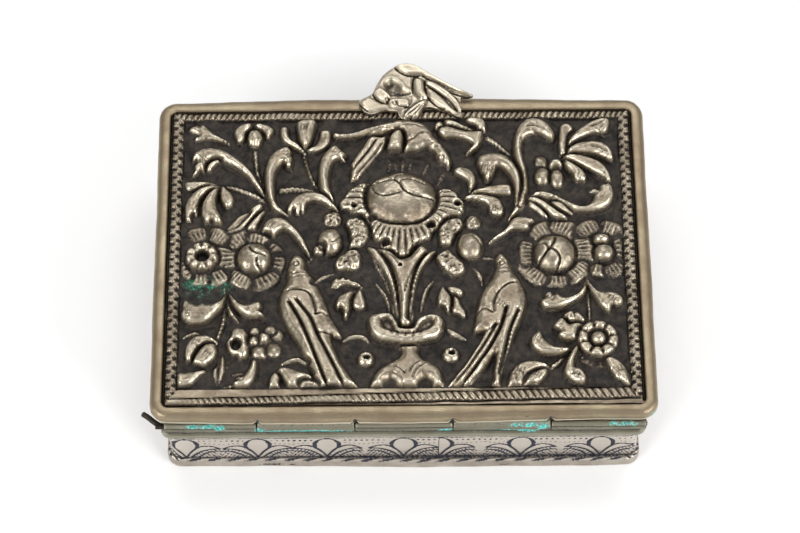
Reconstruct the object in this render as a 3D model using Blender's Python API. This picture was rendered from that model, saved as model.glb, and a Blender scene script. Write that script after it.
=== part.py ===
"""Hinged tobacco case of silver sheet with an embossed lid.

A flat rectangular box is bent from an engraved strip and soldered to a base.
A full length barrel hinge carries the lid, which is a moulded frame holding a
sheet raised from behind with a vase, flowers and three birds.
The origin is at the middle of the underside, the hinge is on the -Y side.
"""
import math

import bmesh
import bpy
import numpy as np
from mathutils import Vector

MM = 0.001

# Overall sizes
CASE_WIDTH = 90.0 * MM
CASE_DEPTH = 65.6 * MM
LIP_HEIGHT = 21.7 * MM
FIT_GAP = 0.3 * MM
LID_CORNER_RADIUS = 3.3 * MM
LEAST_RADIUS = 0.4 * MM

# Box
WALL_INSET = 2.3 * MM
WALL_THICKNESS = 0.75 * MM
WALL_CORNER_RADIUS = 1.8 * MM
BASE_THICKNESS = 0.9 * MM
FOOT_HEIGHT = 2.4 * MM
FOOT_THICKNESS = 0.4 * MM
FOOT_ROUNDING = 0.15 * MM
BEZEL_THICKNESS = 0.5 * MM
BEZEL_DEPTH = 5.0 * MM
BEZEL_STAND = 0.8 * MM
RIM_BEAD_HEIGHT = 12.6 * MM
RIM_BEAD_WIDTH = 1.4 * MM
RIM_BEAD_THICKNESS = 0.6 * MM
RIM_NECK_THICKNESS = 0.35 * MM
RIM_COVE_HEIGHT = 4.4 * MM

# Hinge
BARREL_RADIUS = 1.05 * MM
BORE_RADIUS = 0.75 * MM
PIN_RADIUS = 0.5 * MM
BARREL_INSET = 1.4 * MM
BARREL_LENGTH = CASE_WIDTH - 2 * BARREL_INSET
PIN_STUB = 1.0 * MM
PIN_TAIL_REACH = 2.6 * MM
PIN_TAIL_RISE = 1.2 * MM

# Lid
LID_HEIGHT = 2.5 * MM
LID_RIM_WIDTH = 2.0 * MM
LEDGE_WIDTH = 1.0 * MM
LEDGE_THICKNESS = 0.6 * MM
LINING_THICKNESS = 0.35 * MM
LINING_FIT = 0.2 * MM
SHEET_THICKNESS = 0.35 * MM
BORDER_SIDE = 2.6 * MM
BORDER_BACK = 1.9 * MM
BORDER_FRONT = 3.4 * MM
BORDER_RISE = 0.6 * MM
RELIEF_HEIGHT = 3.6 * MM

# Thumb piece
THUMB_LENGTH = 23.6 * MM
THUMB_REACH = 11.4 * MM
THUMB_OVERLAP = 4.4 * MM
THUMB_THICKNESS = 0.7 * MM
THUMB_CROWN = 1.0 * MM
THUMB_EDGE = 1.4 * MM
THUMB_LIFT = 0.35 * MM

# Counts
CORNER_STEPS = 6
ROUND_STEPS = 20
SHEET_CELLS_ACROSS = 172
SHEET_CELLS_DEEP = 122
SHEET_KEEP_SHARE = 0.155
THUMB_CELLS_ACROSS = 30
THUMB_CELLS_DEEP = 16
CURVE_STEPS = 5

# Places that follow from the sizes
RIM_TOP = LIP_HEIGHT + LID_HEIGHT
WALL_TOP = LIP_HEIGHT - FIT_GAP
AXIS_Y = -CASE_DEPTH / 2
AXIS_Z = LIP_HEIGHT - FIT_GAP - BARREL_RADIUS
LEDGE_TOP = LIP_HEIGHT + LEDGE_THICKNESS
LINING_BOTTOM = LEDGE_TOP + FIT_GAP
SHEET_BOTTOM = LINING_BOTTOM + LINING_THICKNESS + FIT_GAP
GROUND = SHEET_BOTTOM + SHEET_THICKNESS
SHEET_INSET = LID_RIM_WIDTH + LINING_FIT
SHEET_WIDTH = CASE_WIDTH - 2 * SHEET_INSET
SHEET_DEPTH = CASE_DEPTH - 2 * SHEET_INSET
FIELD_WIDTH = SHEET_WIDTH - 2 * BORDER_SIDE
FIELD_DEPTH = SHEET_DEPTH - BORDER_BACK - BORDER_FRONT
FIELD_LEFT = -FIELD_WIDTH / 2
FIELD_FRONT = -SHEET_DEPTH / 2 + BORDER_FRONT

# Lid frame section, as shares of the rim width inward and the lid height upward
LID_SECTION_SHARES = [
    (0.06, 0.0), (0.0, 0.06), (0.0, 0.18), (0.07, 0.25), (0.06, 0.48),
    (0.1, 0.68), (0.22, 0.86), (0.42, 0.97), (0.65, 1.0), (1.0, 1.0)]

# Leaves and scrolls, each a height share and a line of places across and up the field
# with the half width there, all three as shares of the field
LEAF_SHARES = [
    (0.5, [(0.012, 0.962, 0.006), (0.05, 0.945, 0.012), (0.1, 0.914, 0.001)]),
    (0.5, [(0.037, 0.972, 0.006), (0.06, 0.948, 0.01), (0.1, 0.914, 0.001)]),
    (0.5, [(0.028, 0.926, 0.006), (0.05, 0.936, 0.01), (0.1, 0.914, 0.001)]),
    (0.62, [(0.03, 0.79, 0.007), (0.036, 0.835, 0.014), (0.06, 0.862, 0.017),
            (0.095, 0.858, 0.014), (0.13, 0.815, 0.011), (0.16, 0.765, 0.007), (0.186, 0.72, 0.002)]),
    (0.55, [(0.055, 0.812, 0.005), (0.067, 0.838, 0.009), (0.09, 0.855, 0.01)]),
    (0.6, [(0.246, 0.832, 0.006), (0.243, 0.86, 0.012), (0.222, 0.868, 0.013), (0.203, 0.83, 0.011),
           (0.196, 0.76, 0.009), (0.202, 0.7, 0.008), (0.214, 0.655, 0.005), (0.24, 0.632, 0.001)]),
    (0.6, [(0.366, 0.848, 0.005), (0.352, 0.87, 0.012), (0.334, 0.85, 0.012), (0.322, 0.8, 0.011),
           (0.32, 0.745, 0.01), (0.328, 0.7, 0.007), (0.345, 0.655, 0.001)]),
    (0.6, [(0.241, 0.648, 0.006), (0.254, 0.678, 0.012), (0.28, 0.698, 0.014), (0.31, 0.69, 0.01),
           (0.335, 0.665, 0.007), (0.355, 0.64, 0.001)]),
    (0.5, [(0.275, 0.65, 0.006), (0.272, 0.68, 0.009)]),
    (0.62, [(0.19, 0.575, 0.009), (0.207, 0.597, 0.014), (0.235, 0.59, 0.011), (0.265, 0.545, 0.006),
            (0.285, 0.49, 0.002)]),
    (0.4, [(0.012, 0.745, 0.009), (0.045, 0.752, 0.006), (0.085, 0.745, 0.004)]),
    (0.55, [(0.082, 0.74, 0.003), (0.045, 0.715, 0.008), (0.02, 0.665, 0.012), (0.022, 0.618, 0.004)]),
    (0.6, [(0.084, 0.735, 0.003), (0.063, 0.695, 0.01), (0.058, 0.65, 0.015), (0.06, 0.61, 0.008)]),
    (0.55, [(0.07, 0.66, 0.01), (0.08, 0.612, 0.006)]),
    (0.5, [(0.088, 0.735, 0.003), (0.095, 0.7, 0.01), (0.1, 0.672, 0.008)]),
    (0.42, [(0.176, 0.665, 0.004), (0.15, 0.63, 0.007), (0.115, 0.585, 0.002)]),
    (0.42, [(0.186, 0.648, 0.002), (0.17, 0.615, 0.007), (0.156, 0.585, 0.002)]),
    (0.3, [(0.15, 0.64, 0.002), (0.125, 0.613, 0.005), (0.106, 0.585, 0.002)]),
    (0.5, [(0.23, 0.95, 0.006), (0.234, 0.92, 0.009), (0.258, 0.895, 0.006), (0.275, 0.88, 0.002)]),
    (0.6, [(0.27, 0.975, 0.009), (0.272, 0.93, 0.009), (0.275, 0.87, 0.004)]),
    (0.5, [(0.291, 0.978, 0.006), (0.29, 0.93, 0.007), (0.28, 0.885, 0.003)]),
    (0.5, [(0.322, 0.935, 0.01), (0.318, 0.91, 0.01), (0.295, 0.885, 0.006), (0.28, 0.875, 0.002)]),
    (0.4, [(0.44, 0.928, 0.005), (0.41, 0.878, 0.006), (0.386, 0.825, 0.002)]),
    (0.45, [(0.455, 0.92, 0.006), (0.425, 0.858, 0.008), (0.39, 0.78, 0.002)]),
    (0.4, [(0.463, 0.905, 0.004), (0.445, 0.86, 0.005), (0.42, 0.82, 0.001)]),
    (0.5, [(0.585, 0.955, 0.006), (0.595, 0.972, 0.01)]),
    (0.55, [(0.606, 0.986, 0.005), (0.632, 0.964, 0.01), (0.668, 0.944, 0.006)]),
    (0.5, [(0.665, 0.985, 0.008), (0.684, 0.975, 0.01), (0.685, 0.945, 0.008)]),
    (0.55, [(0.597, 0.942, 0.011), (0.63, 0.935, 0.013), (0.665, 0.92, 0.012), (0.672, 0.885, 0.009)]),
    (0.55, [(0.632, 0.798, 0.006), (0.65, 0.79, 0.012), (0.662, 0.76, 0.009), (0.656, 0.722, 0.002)]),
    (0.45, [(0.656, 0.706, 0.003), (0.69, 0.718, 0.009), (0.738, 0.718, 0.014)]),
    (0.55, [(0.65, 0.688, 0.004), (0.69, 0.682, 0.01), (0.712, 0.66, 0.012), (0.718, 0.628, 0.008)]),
    (0.65, [(0.7, 0.77, 0.008), (0.7, 0.815, 0.018), (0.724, 0.83, 0.016), (0.75, 0.8, 0.012),
            (0.77, 0.75, 0.01), (0.774, 0.69, 0.009), (0.764, 0.65, 0.006), (0.745, 0.612, 0.001)]),
    (0.55, [(0.683, 0.8, 0.007), (0.695, 0.825, 0.012)]),
    (0.65, [(0.848, 0.915, 0.003), (0.83, 0.945, 0.01), (0.8, 0.96, 0.013), (0.777, 0.925, 0.012),
            (0.768, 0.87, 0.01), (0.775, 0.81, 0.009), (0.782, 0.76, 0.008), (0.777, 0.69, 0.006)]),
    (0.55, [(0.882, 0.893, 0.004), (0.92, 0.93, 0.01), (0.965, 0.965, 0.014)]),
    (0.55, [(0.88, 0.865, 0.004), (0.915, 0.878, 0.01), (0.955, 0.875, 0.012), (0.984, 0.838, 0.004)]),
    (0.55, [(0.88, 0.842, 0.004), (0.92, 0.832, 0.01), (0.955, 0.79, 0.011), (0.974, 0.752, 0.004)]),
    (0.55, [(0.882, 0.822, 0.004), (0.9, 0.79, 0.009), (0.911, 0.76, 0.009)]),
    (0.4, [(0.872, 0.868, 0.003), (0.874, 0.92, 0.004), (0.886, 0.955, 0.009)]),
    (0.6, [(0.8, 0.69, 0.003), (0.83, 0.69, 0.005), (0.862, 0.668, 0.006), (0.9, 0.646, 0.007),
           (0.935, 0.655, 0.011), (0.962, 0.675, 0.016), (0.972, 0.705, 0.011), (0.945, 0.708, 0.004)]),
    (0.45, [(0.8, 0.686, 0.004), (0.83, 0.655, 0.007), (0.873, 0.62, 0.004)]),
    (0.35, [(0.797, 0.67, 0.003), (0.815, 0.645, 0.005), (0.83, 0.62, 0.002)]),
    (0.35, [(0.85, 0.67, 0.003), (0.873, 0.647, 0.006), (0.884, 0.632, 0.002)]),
    (0.5, [(0.7, 0.527, 0.002), (0.73, 0.563, 0.008), (0.762, 0.59, 0.013), (0.795, 0.597, 0.008)]),
    (0.55, [(0.097, 0.335, 0.002), (0.08, 0.295, 0.01), (0.05, 0.265, 0.015), (0.02, 0.272, 0.014)]),
    (0.55, [(0.118, 0.325, 0.002), (0.132, 0.292, 0.009), (0.155, 0.275, 0.014), (0.182, 0.268, 0.008)]),
    (0.35, [(0.105, 0.31, 0.002), (0.115, 0.27, 0.005), (0.135, 0.236, 0.002)]),
    (0.55, [(0.021, 0.1, 0.004), (0.03, 0.145, 0.01), (0.05, 0.167, 0.01), (0.078, 0.17, 0.003)]),
    (0.5, [(0.058, 0.06, 0.002), (0.035, 0.045, 0.01), (0.01, 0.03, 0.012)]),
    (0.3, [(0.098, 0.12, 0.003), (0.098, 0.07, 0.008), (0.09, 0.018, 0.002)]),
    (0.5, [(0.168, 0.098, 0.005), (0.168, 0.055, 0.008), (0.155, 0.022, 0.011), (0.13, 0.012, 0.007)]),
    (0.3, [(0.01, 0.185, 0.003), (0.035, 0.197, 0.006), (0.055, 0.185, 0.003)]),
    (0.35, [(0.345, 0.37, 0.005), (0.36, 0.387, 0.009), (0.385, 0.382, 0.007), (0.405, 0.366, 0.002)]),
    (0.5, [(0.404, 0.365, 0.002), (0.375, 0.333, 0.01), (0.362, 0.295, 0.011), (0.374, 0.258, 0.004)]),
    (0.4, [(0.403, 0.345, 0.003), (0.402, 0.31, 0.009), (0.408, 0.28, 0.005)]),
    (0.45, [(0.595, 0.352, 0.003), (0.595, 0.315, 0.01), (0.6, 0.285, 0.007)]),
    (0.4, [(0.603, 0.352, 0.003), (0.622, 0.342, 0.009)]),
    (0.4, [(0.616, 0.318, 0.004), (0.624, 0.288, 0.008), (0.632, 0.26, 0.003)]),
    (0.3, [(0.365, 0.165, 0.002), (0.385, 0.18, 0.006), (0.41, 0.18, 0.006), (0.425, 0.162, 0.002)]),
    (0.3, [(0.6, 0.205, 0.002), (0.615, 0.188, 0.007), (0.64, 0.17, 0.002)]),
    (0.55, [(0.91, 0.368, 0.002), (0.888, 0.328, 0.008), (0.858, 0.3, 0.014), (0.826, 0.3, 0.013)]),
    (0.55, [(0.918, 0.382, 0.002), (0.934, 0.338, 0.008), (0.955, 0.303, 0.014), (0.975, 0.292, 0.012)]),
    (0.45, [(0.872, 0.24, 0.01), (0.892, 0.235, 0.011)]),
    (0.45, [(0.85, 0.195, 0.012), (0.876, 0.19, 0.014)]),
    (0.55, [(0.79, 0.185, 0.006), (0.798, 0.15, 0.013), (0.825, 0.124, 0.01), (0.855, 0.123, 0.006),
            (0.882, 0.138, 0.002)]),
    (0.55, [(0.883, 0.134, 0.003), (0.872, 0.085, 0.008), (0.873, 0.038, 0.012), (0.892, 0.012, 0.01)]),
    (0.4, [(0.746, 0.0, 0.01), (0.754, 0.045, 0.012), (0.783, 0.075, 0.009), (0.815, 0.073, 0.003)]),
    (0.5, [(0.778, 0.006, 0.01), (0.795, 0.028, 0.014), (0.812, 0.045, 0.009)]),
    (0.4, [(0.955, 0.098, 0.004), (0.974, 0.06, 0.012), (0.992, 0.012, 0.005)]),
    (0.5, [(0.216, 0.01, 0.011), (0.228, 0.035, 0.01), (0.225, 0.055, 0.004)]),
    (0.55, [(0.222, 0.062, 0.004), (0.252, 0.052, 0.01), (0.28, 0.01, 0.008)]),
    (0.45, [(0.288, 0.005, 0.01), (0.308, 0.002, 0.01)]),
    (0.3, [(0.235, 0.085, 0.004), (0.262, 0.098, 0.005), (0.285, 0.07, 0.004)]),
]

# Stems in the same form
STEM_SHARES = [
    (0.34, [(0.163, 0.88, 0.005), (0.168, 0.8, 0.004), (0.176, 0.76, 0.004), (0.186, 0.68, 0.003)]),
    (0.34, [(0.275, 0.87, 0.004), (0.285, 0.81, 0.003), (0.297, 0.76, 0.003), (0.315, 0.715, 0.003)]),
    (0.34, [(0.085, 0.745, 0.004), (0.13, 0.73, 0.005), (0.182, 0.695, 0.004)]),
    (0.34, [(0.226, 0.727, 0.007), (0.26, 0.731, 0.007), (0.29, 0.725, 0.006), (0.315, 0.71, 0.003)]),
    (0.36, [(0.69, 0.934, 0.005), (0.715, 0.908, 0.004), (0.742, 0.87, 0.004), (0.77, 0.828, 0.003)]),
    (0.34, [(0.098, 0.37, 0.003), (0.1, 0.3, 0.004), (0.098, 0.24, 0.004), (0.084, 0.17, 0.003)]),
    (0.34, [(0.915, 0.365, 0.003), (0.917, 0.3, 0.003), (0.92, 0.235, 0.002)]),
    (0.34, [(0.818, 0.06, 0.005), (0.84, 0.076, 0.005), (0.857, 0.097, 0.003)]),
    (0.36, [(0.276, 0.452, 0.005), (0.292, 0.466, 0.003), (0.31, 0.488, 0.003)]),
    (0.36, [(0.712, 0.457, 0.004), (0.7, 0.463, 0.003), (0.682, 0.466, 0.003)]),
]

# Round bosses: across, up, half width, half length, height share
BOSS_SHARES = [
    (0.162, 0.918, 0.016, 0.023, 0.6), (0.047, 0.478, 0.033, 0.033, 0.6), (0.165, 0.468, 0.037, 0.037, 0.85),
    (0.843, 0.478, 0.044, 0.044, 0.9), (0.957, 0.486, 0.021, 0.021, 0.65), (0.951, 0.533, 0.018, 0.014, 0.55),
    (0.336, 0.53, 0.026, 0.031, 0.75), (0.31, 0.505, 0.011, 0.013, 0.45), (0.656, 0.507, 0.029, 0.034, 0.75),
    (0.661, 0.602, 0.016, 0.016, 0.4), (0.342, 0.622, 0.018, 0.018, 0.4), (0.853, 0.812, 0.0135, 0.0135, 0.6),
    (0.825, 0.832, 0.011, 0.012, 0.3), (0.826, 0.772, 0.013, 0.018, 0.45), (0.863, 0.765, 0.01, 0.02, 0.4),
    (0.416, 0.098, 0.018, 0.018, 0.5), (0.606, 0.116, 0.018, 0.018, 0.5), (0.933, 0.163, 0.042, 0.042, 0.55),
    (0.932, 0.172, 0.016, 0.016, 0.68), (0.192, 0.172, 0.015, 0.015, 0.6), (0.17, 0.205, 0.009, 0.009, 0.35),
    (0.165, 0.165, 0.009, 0.012, 0.4), (0.183, 0.125, 0.013, 0.012, 0.45), (0.215, 0.132, 0.012, 0.013, 0.4),
    (0.216, 0.19, 0.012, 0.012, 0.3), (0.196, 0.22, 0.01, 0.01, 0.3), (0.135, 0.192, 0.018, 0.018, 0.5),
    (0.152, 0.163, 0.012, 0.012, 0.45), (0.149, 0.132, 0.014, 0.014, 0.5), (0.135, 0.118, 0.009, 0.009, 0.4),
    (0.064, 0.115, 0.022, 0.023, 0.55), (0.499, 0.682, 0.075, 0.062, 0.95),
]

# Petal rings: across, up, inner and outer reach, count, first angle, height share
PETAL_SHARES = [
    (0.165, 0.468, 0.035, 0.063, 8, 10.0, 0.33),
    (0.047, 0.478, 0.033, 0.054, 9, 40.0, 0.3),
    (0.845, 0.478, 0.042, 0.078, 7, 9.0, 0.36),
    (0.955, 0.495, 0.026, 0.052, 7, 20.0, 0.3),
    (0.933, 0.163, 0.04, 0.054, 9, 0.0, 0.22),
]

# Closed outlines: height share, edge share, corners across and up the field
OUTLINE_SHARES = [
    (0.5, 0.012, [(0.153, 0.982), (0.13, 0.977), (0.115, 0.955), (0.118, 0.93), (0.125, 0.91),
                  (0.137, 0.925), (0.141, 0.95), (0.153, 0.962)]),
    (0.5, 0.012, [(0.164, 0.982), (0.19, 0.977), (0.204, 0.958), (0.199, 0.938), (0.191, 0.925),
                  (0.184, 0.945), (0.164, 0.962)]),
    (0.7, 0.018, [(0.345, 0.938), (0.39, 0.935), (0.42, 0.95), (0.45, 0.975), (0.5, 0.985), (0.545, 0.975),
                  (0.575, 0.94), (0.597, 0.9), (0.612, 0.855), (0.616, 0.83), (0.612, 0.806), (0.598, 0.82),
                  (0.585, 0.838), (0.574, 0.87), (0.56, 0.885), (0.54, 0.876), (0.515, 0.888), (0.5, 0.928),
                  (0.48, 0.938), (0.44, 0.928), (0.4, 0.92), (0.345, 0.924)]),
    (0.6, 0.012, [(0.472, 0.882), (0.486, 0.878), (0.498, 0.91), (0.498, 0.945), (0.482, 0.935),
                  (0.47, 0.91)]),
    (0.5, 0.016, [(0.42, 0.75), (0.395, 0.745), (0.378, 0.725), (0.374, 0.7), (0.362, 0.672), (0.366, 0.65),
                  (0.39, 0.637), (0.415, 0.626), (0.437, 0.6), (0.433, 0.57), (0.445, 0.545), (0.455, 0.52),
                  (0.47, 0.505), (0.478, 0.48), (0.5, 0.468), (0.52, 0.478), (0.528, 0.51), (0.55, 0.54),
                  (0.568, 0.565), (0.575, 0.59), (0.6, 0.62), (0.635, 0.632), (0.643, 0.652), (0.635, 0.685),
                  (0.615, 0.705), (0.6, 0.72), (0.575, 0.73), (0.5, 0.72)]),
    (0.7, 0.02, [(0.262, 0.476), (0.249, 0.462), (0.242, 0.42), (0.24, 0.38), (0.227, 0.335), (0.222, 0.3),
                 (0.226, 0.26), (0.24, 0.215), (0.265, 0.15), (0.295, 0.06), (0.315, -0.005), (0.355, -0.012),
                 (0.4, -0.012), (0.38, 0.04), (0.36, 0.09), (0.345, 0.14), (0.336, 0.185), (0.36, 0.182),
                 (0.343, 0.222), (0.331, 0.262), (0.325, 0.305), (0.314, 0.345), (0.3, 0.385),
                 (0.284, 0.42), (0.278, 0.458)]),
    (0.7, 0.02, [(0.722, 0.478), (0.711, 0.462), (0.711, 0.43), (0.7, 0.385), (0.684, 0.35), (0.672, 0.31),
                 (0.667, 0.27), (0.662, 0.23), (0.66, 0.195), (0.69, 0.195), (0.665, 0.14), (0.636, 0.07),
                 (0.597, -0.01), (0.635, -0.012), (0.68, 0.06), (0.705, 0.11), (0.698, 0.0), (0.71, -0.01),
                 (0.722, 0.08), (0.745, 0.17), (0.765, 0.235), (0.776, 0.285), (0.775, 0.33), (0.765, 0.37),
                 (0.75, 0.41), (0.738, 0.458)]),
    (0.62, 0.014, [(0.432, 0.5), (0.445, 0.5), (0.462, 0.46), (0.474, 0.43), (0.482, 0.47), (0.525, 0.47),
                   (0.53, 0.43), (0.545, 0.465), (0.566, 0.492), (0.572, 0.482), (0.548, 0.435),
                   (0.535, 0.38), (0.528, 0.3), (0.518, 0.218), (0.494, 0.215), (0.485, 0.26),
                   (0.478, 0.34), (0.46, 0.4), (0.44, 0.445)]),
    (0.75, 0.016, [(0.42, 0.23), (0.425, 0.195), (0.445, 0.172), (0.48, 0.152), (0.5, 0.147), (0.54, 0.155),
                   (0.575, 0.182), (0.59, 0.212), (0.588, 0.246), (0.565, 0.26), (0.54, 0.25),
                   (0.526, 0.222), (0.517, 0.208), (0.49, 0.208), (0.486, 0.232), (0.473, 0.25),
                   (0.445, 0.26), (0.425, 0.25)]),
    (0.6, 0.018, [(0.475, 0.16), (0.472, 0.12), (0.455, 0.08), (0.435, 0.045), (0.425, 0.0), (0.43, -0.015),
                  (0.447, -0.015), (0.453, 0.012), (0.469, 0.03), (0.485, 0.015), (0.495, -0.008),
                  (0.515, -0.008), (0.53, 0.02), (0.547, 0.034), (0.562, 0.02), (0.566, -0.015),
                  (0.58, -0.015), (0.588, 0.02), (0.58, 0.06), (0.563, 0.088), (0.54, 0.11), (0.535, 0.16)]),
    (0.45, 0.012, [(0.375, 0.605), (0.39, 0.613), (0.41, 0.6), (0.42, 0.57), (0.415, 0.54), (0.4, 0.515),
                   (0.38, 0.51), (0.385, 0.54), (0.374, 0.57)]),
    (0.45, 0.012, [(0.37, 0.48), (0.385, 0.495), (0.4, 0.49), (0.407, 0.465), (0.395, 0.437), (0.37, 0.432),
                   (0.355, 0.438), (0.365, 0.458)]),
    (0.45, 0.012, [(0.585, 0.53), (0.59, 0.57), (0.605, 0.603), (0.63, 0.61), (0.64, 0.595), (0.624, 0.575),
                   (0.614, 0.545), (0.61, 0.522), (0.6, 0.512)]),
    (0.45, 0.012, [(0.58, 0.475), (0.6, 0.49), (0.61, 0.475), (0.618, 0.45), (0.635, 0.43), (0.635, 0.415),
                   (0.61, 0.405), (0.595, 0.42), (0.584, 0.45)]),
]

# Deep chased lines: half width share, depth share, places across and up the field
CUT_SHARES = [
    (0.004, 0.3, [(0.245, 0.305), (0.27, 0.24), (0.297, 0.14), (0.335, 0.0)]),
    (0.004, 0.3, [(0.262, 0.312), (0.293, 0.248), (0.31, 0.185), (0.335, 0.11), (0.37, 0.0)]),
    (0.003, 0.2, [(0.24, 0.345), (0.265, 0.352), (0.29, 0.335), (0.302, 0.29), (0.306, 0.26)]),
    (0.004, 0.3, [(0.758, 0.27), (0.735, 0.18), (0.712, 0.1)]),
    (0.004, 0.3, [(0.73, 0.27), (0.715, 0.2), (0.68, 0.11), (0.622, 0.0)]),
    (0.004, 0.3, [(0.713, 0.23), (0.685, 0.16), (0.64, 0.075)]),
    (0.003, 0.2, [(0.757, 0.376), (0.735, 0.365), (0.715, 0.335), (0.705, 0.3), (0.705, 0.27)]),
    (0.004, 0.25, [(0.475, 0.757), (0.495, 0.727), (0.53, 0.7), (0.572, 0.69)]),
    (0.004, 0.25, [(0.427, 0.73), (0.44, 0.7), (0.46, 0.69), (0.497, 0.697)]),
    (0.004, 0.25, [(0.81, 0.448), (0.83, 0.492), (0.845, 0.53)]),
    (0.004, 0.25, [(0.84, 0.492), (0.855, 0.465), (0.85, 0.425)]),
    (0.004, 0.25, [(0.155, 0.507), (0.165, 0.487), (0.185, 0.48)]),
    (0.004, 0.25, [(0.172, 0.465), (0.175, 0.44), (0.182, 0.425)]),
]

# Pierced hollows: across, up, radius share
PIT_SHARES = [
    (0.05, 0.478, 0.01), (0.158, 0.966, 0.006), (0.39, 0.663, 0.006), (0.43, 0.62, 0.009),
    (0.463, 0.53, 0.01), (0.565, 0.6, 0.01), (0.628, 0.672, 0.007), (0.418, 0.102, 0.006),
    (0.608, 0.12, 0.006), (0.128, 0.155, 0.011),
]

# Thumb piece: corners along its length and out from its inner edge
THUMB_OUTLINE_SHARES = [
    (0.0, 0.32), (0.07, 0.41), (0.14, 0.5), (0.17, 0.68), (0.22, 0.84), (0.29, 0.95), (0.39, 1.0),
    (0.48, 0.95), (0.57, 0.8), (0.69, 0.63), (0.81, 0.49), (0.9, 0.43), (1.0, 0.37), (1.0, 0.28),
    (0.7, 0.22), (0.5, 0.2), (0.44, 0.0), (0.36, 0.02), (0.36, 0.16), (0.2, 0.16), (0.04, 0.2)]
THUMB_LEFT_SHARE = 0.335
THUMB_RIDGE_SHARES = [
    (1.0, [(0.12, 0.27, 0.05), (0.22, 0.3, 0.1), (0.25, 0.5, 0.1), (0.28, 0.75, 0.1), (0.38, 0.85, 0.1)]),
    (0.9, [(0.38, 0.85, 0.08), (0.5, 0.65, 0.1), (0.6, 0.4, 0.08), (0.9, 0.32, 0.05)]),
    (0.7, [(0.45, 0.6, 0.08), (0.46, 0.3, 0.06), (0.4, 0.08, 0.04)]),
]

# Colours, as linear red, green and blue
OLD_SILVER = (0.42, 0.38, 0.31)
DARK_SILVER = (0.2, 0.18, 0.15)
PALE_SILVER = (0.6, 0.56, 0.5)
BLACK_WIRE = (0.03, 0.03, 0.03)


def clear_scene():
    """Remove every object that the file opened with."""
    for thing in list(bpy.data.objects):
        bpy.data.objects.remove(thing, do_unlink=True)


def finish_object(name, mesh_or_curve, colour, roughness, parent=None):
    """Put one named piece with its own material into the scene."""
    thing = bpy.data.objects.new(name, mesh_or_curve)
    bpy.context.collection.objects.link(thing)
    surface = bpy.data.materials.new(name + "_finish")
    surface.use_nodes = True
    shader = surface.node_tree.nodes["Principled BSDF"]
    shader.inputs["Base Color"].default_value = (*colour, 1.0)
    shader.inputs["Roughness"].default_value = roughness
    shader.inputs["Metallic"].default_value = 1.0
    mesh_or_curve.materials.append(surface)
    if parent is not None:
        thing.parent = parent
        thing.matrix_parent_inverse = parent.matrix_world.inverted()
    return thing


def mesh_from(bm, name, smooth_angle=None):
    """Turn a bmesh into mesh data with its faces pointing out."""
    bmesh.ops.recalc_face_normals(bm, faces=bm.faces)
    mesh = bpy.data.meshes.new(name)
    bm.to_mesh(mesh)
    bm.free()
    if smooth_angle is not None:
        mesh.shade_smooth()
        mesh.set_sharp_from_angle(angle=smooth_angle)
    return mesh


def loop_points(inset, radius, height):
    """Points of a rounded rectangle that lies inset from the lid's outer edge."""
    half_x = CASE_WIDTH / 2 - inset
    half_y = CASE_DEPTH / 2 - inset
    points = []
    for quarter, (side_x, side_y) in enumerate([(1, 1), (-1, 1), (-1, -1), (1, -1)]):
        middle = Vector((side_x * (half_x - radius), side_y * (half_y - radius), height))
        for step in range(CORNER_STEPS + 1):
            angle = math.pi / 2 * (quarter + step / CORNER_STEPS)
            points.append(middle + Vector((math.cos(angle), math.sin(angle), 0)) * radius)
    return points


def sweep_frame(name, section):
    """Sweep a closed section round the case: rows of inset, corner radius and height."""
    bm = bmesh.new()
    loops = [[bm.verts.new(p) for p in loop_points(*row)] for row in section]
    for lower, upper in zip(loops, loops[1:] + loops[:1]):
        for i in range(len(lower)):
            j = (i + 1) % len(lower)
            bm.faces.new((lower[i], lower[j], upper[j], upper[i]))
    return mesh_from(bm, name, math.radians(40))


def plate(name, inset, radius, bottom, top):
    """A flat plate with rounded corners."""
    bm = bmesh.new()
    loops = [[bm.verts.new(p) for p in loop_points(inset, radius, z)] for z in (bottom, top)]
    bm.faces.new(reversed(loops[0]))
    bm.faces.new(loops[1])
    count = len(loops[0])
    for i in range(count):
        j = (i + 1) % count
        bm.faces.new((loops[0][i], loops[0][j], loops[1][j], loops[1][i]))
    return mesh_from(bm, name, math.radians(40))


def strip_section(inset, thickness, radius, bottom, top):
    """Section of a plain upright strip whose outer face lies at the inset."""
    inner = inset + thickness
    inner_radius = max(radius - thickness, LEAST_RADIUS)
    return [(inset, radius, bottom), (inset, radius, top), (inner, inner_radius, top), (inner, inner_radius, bottom)]


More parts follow.
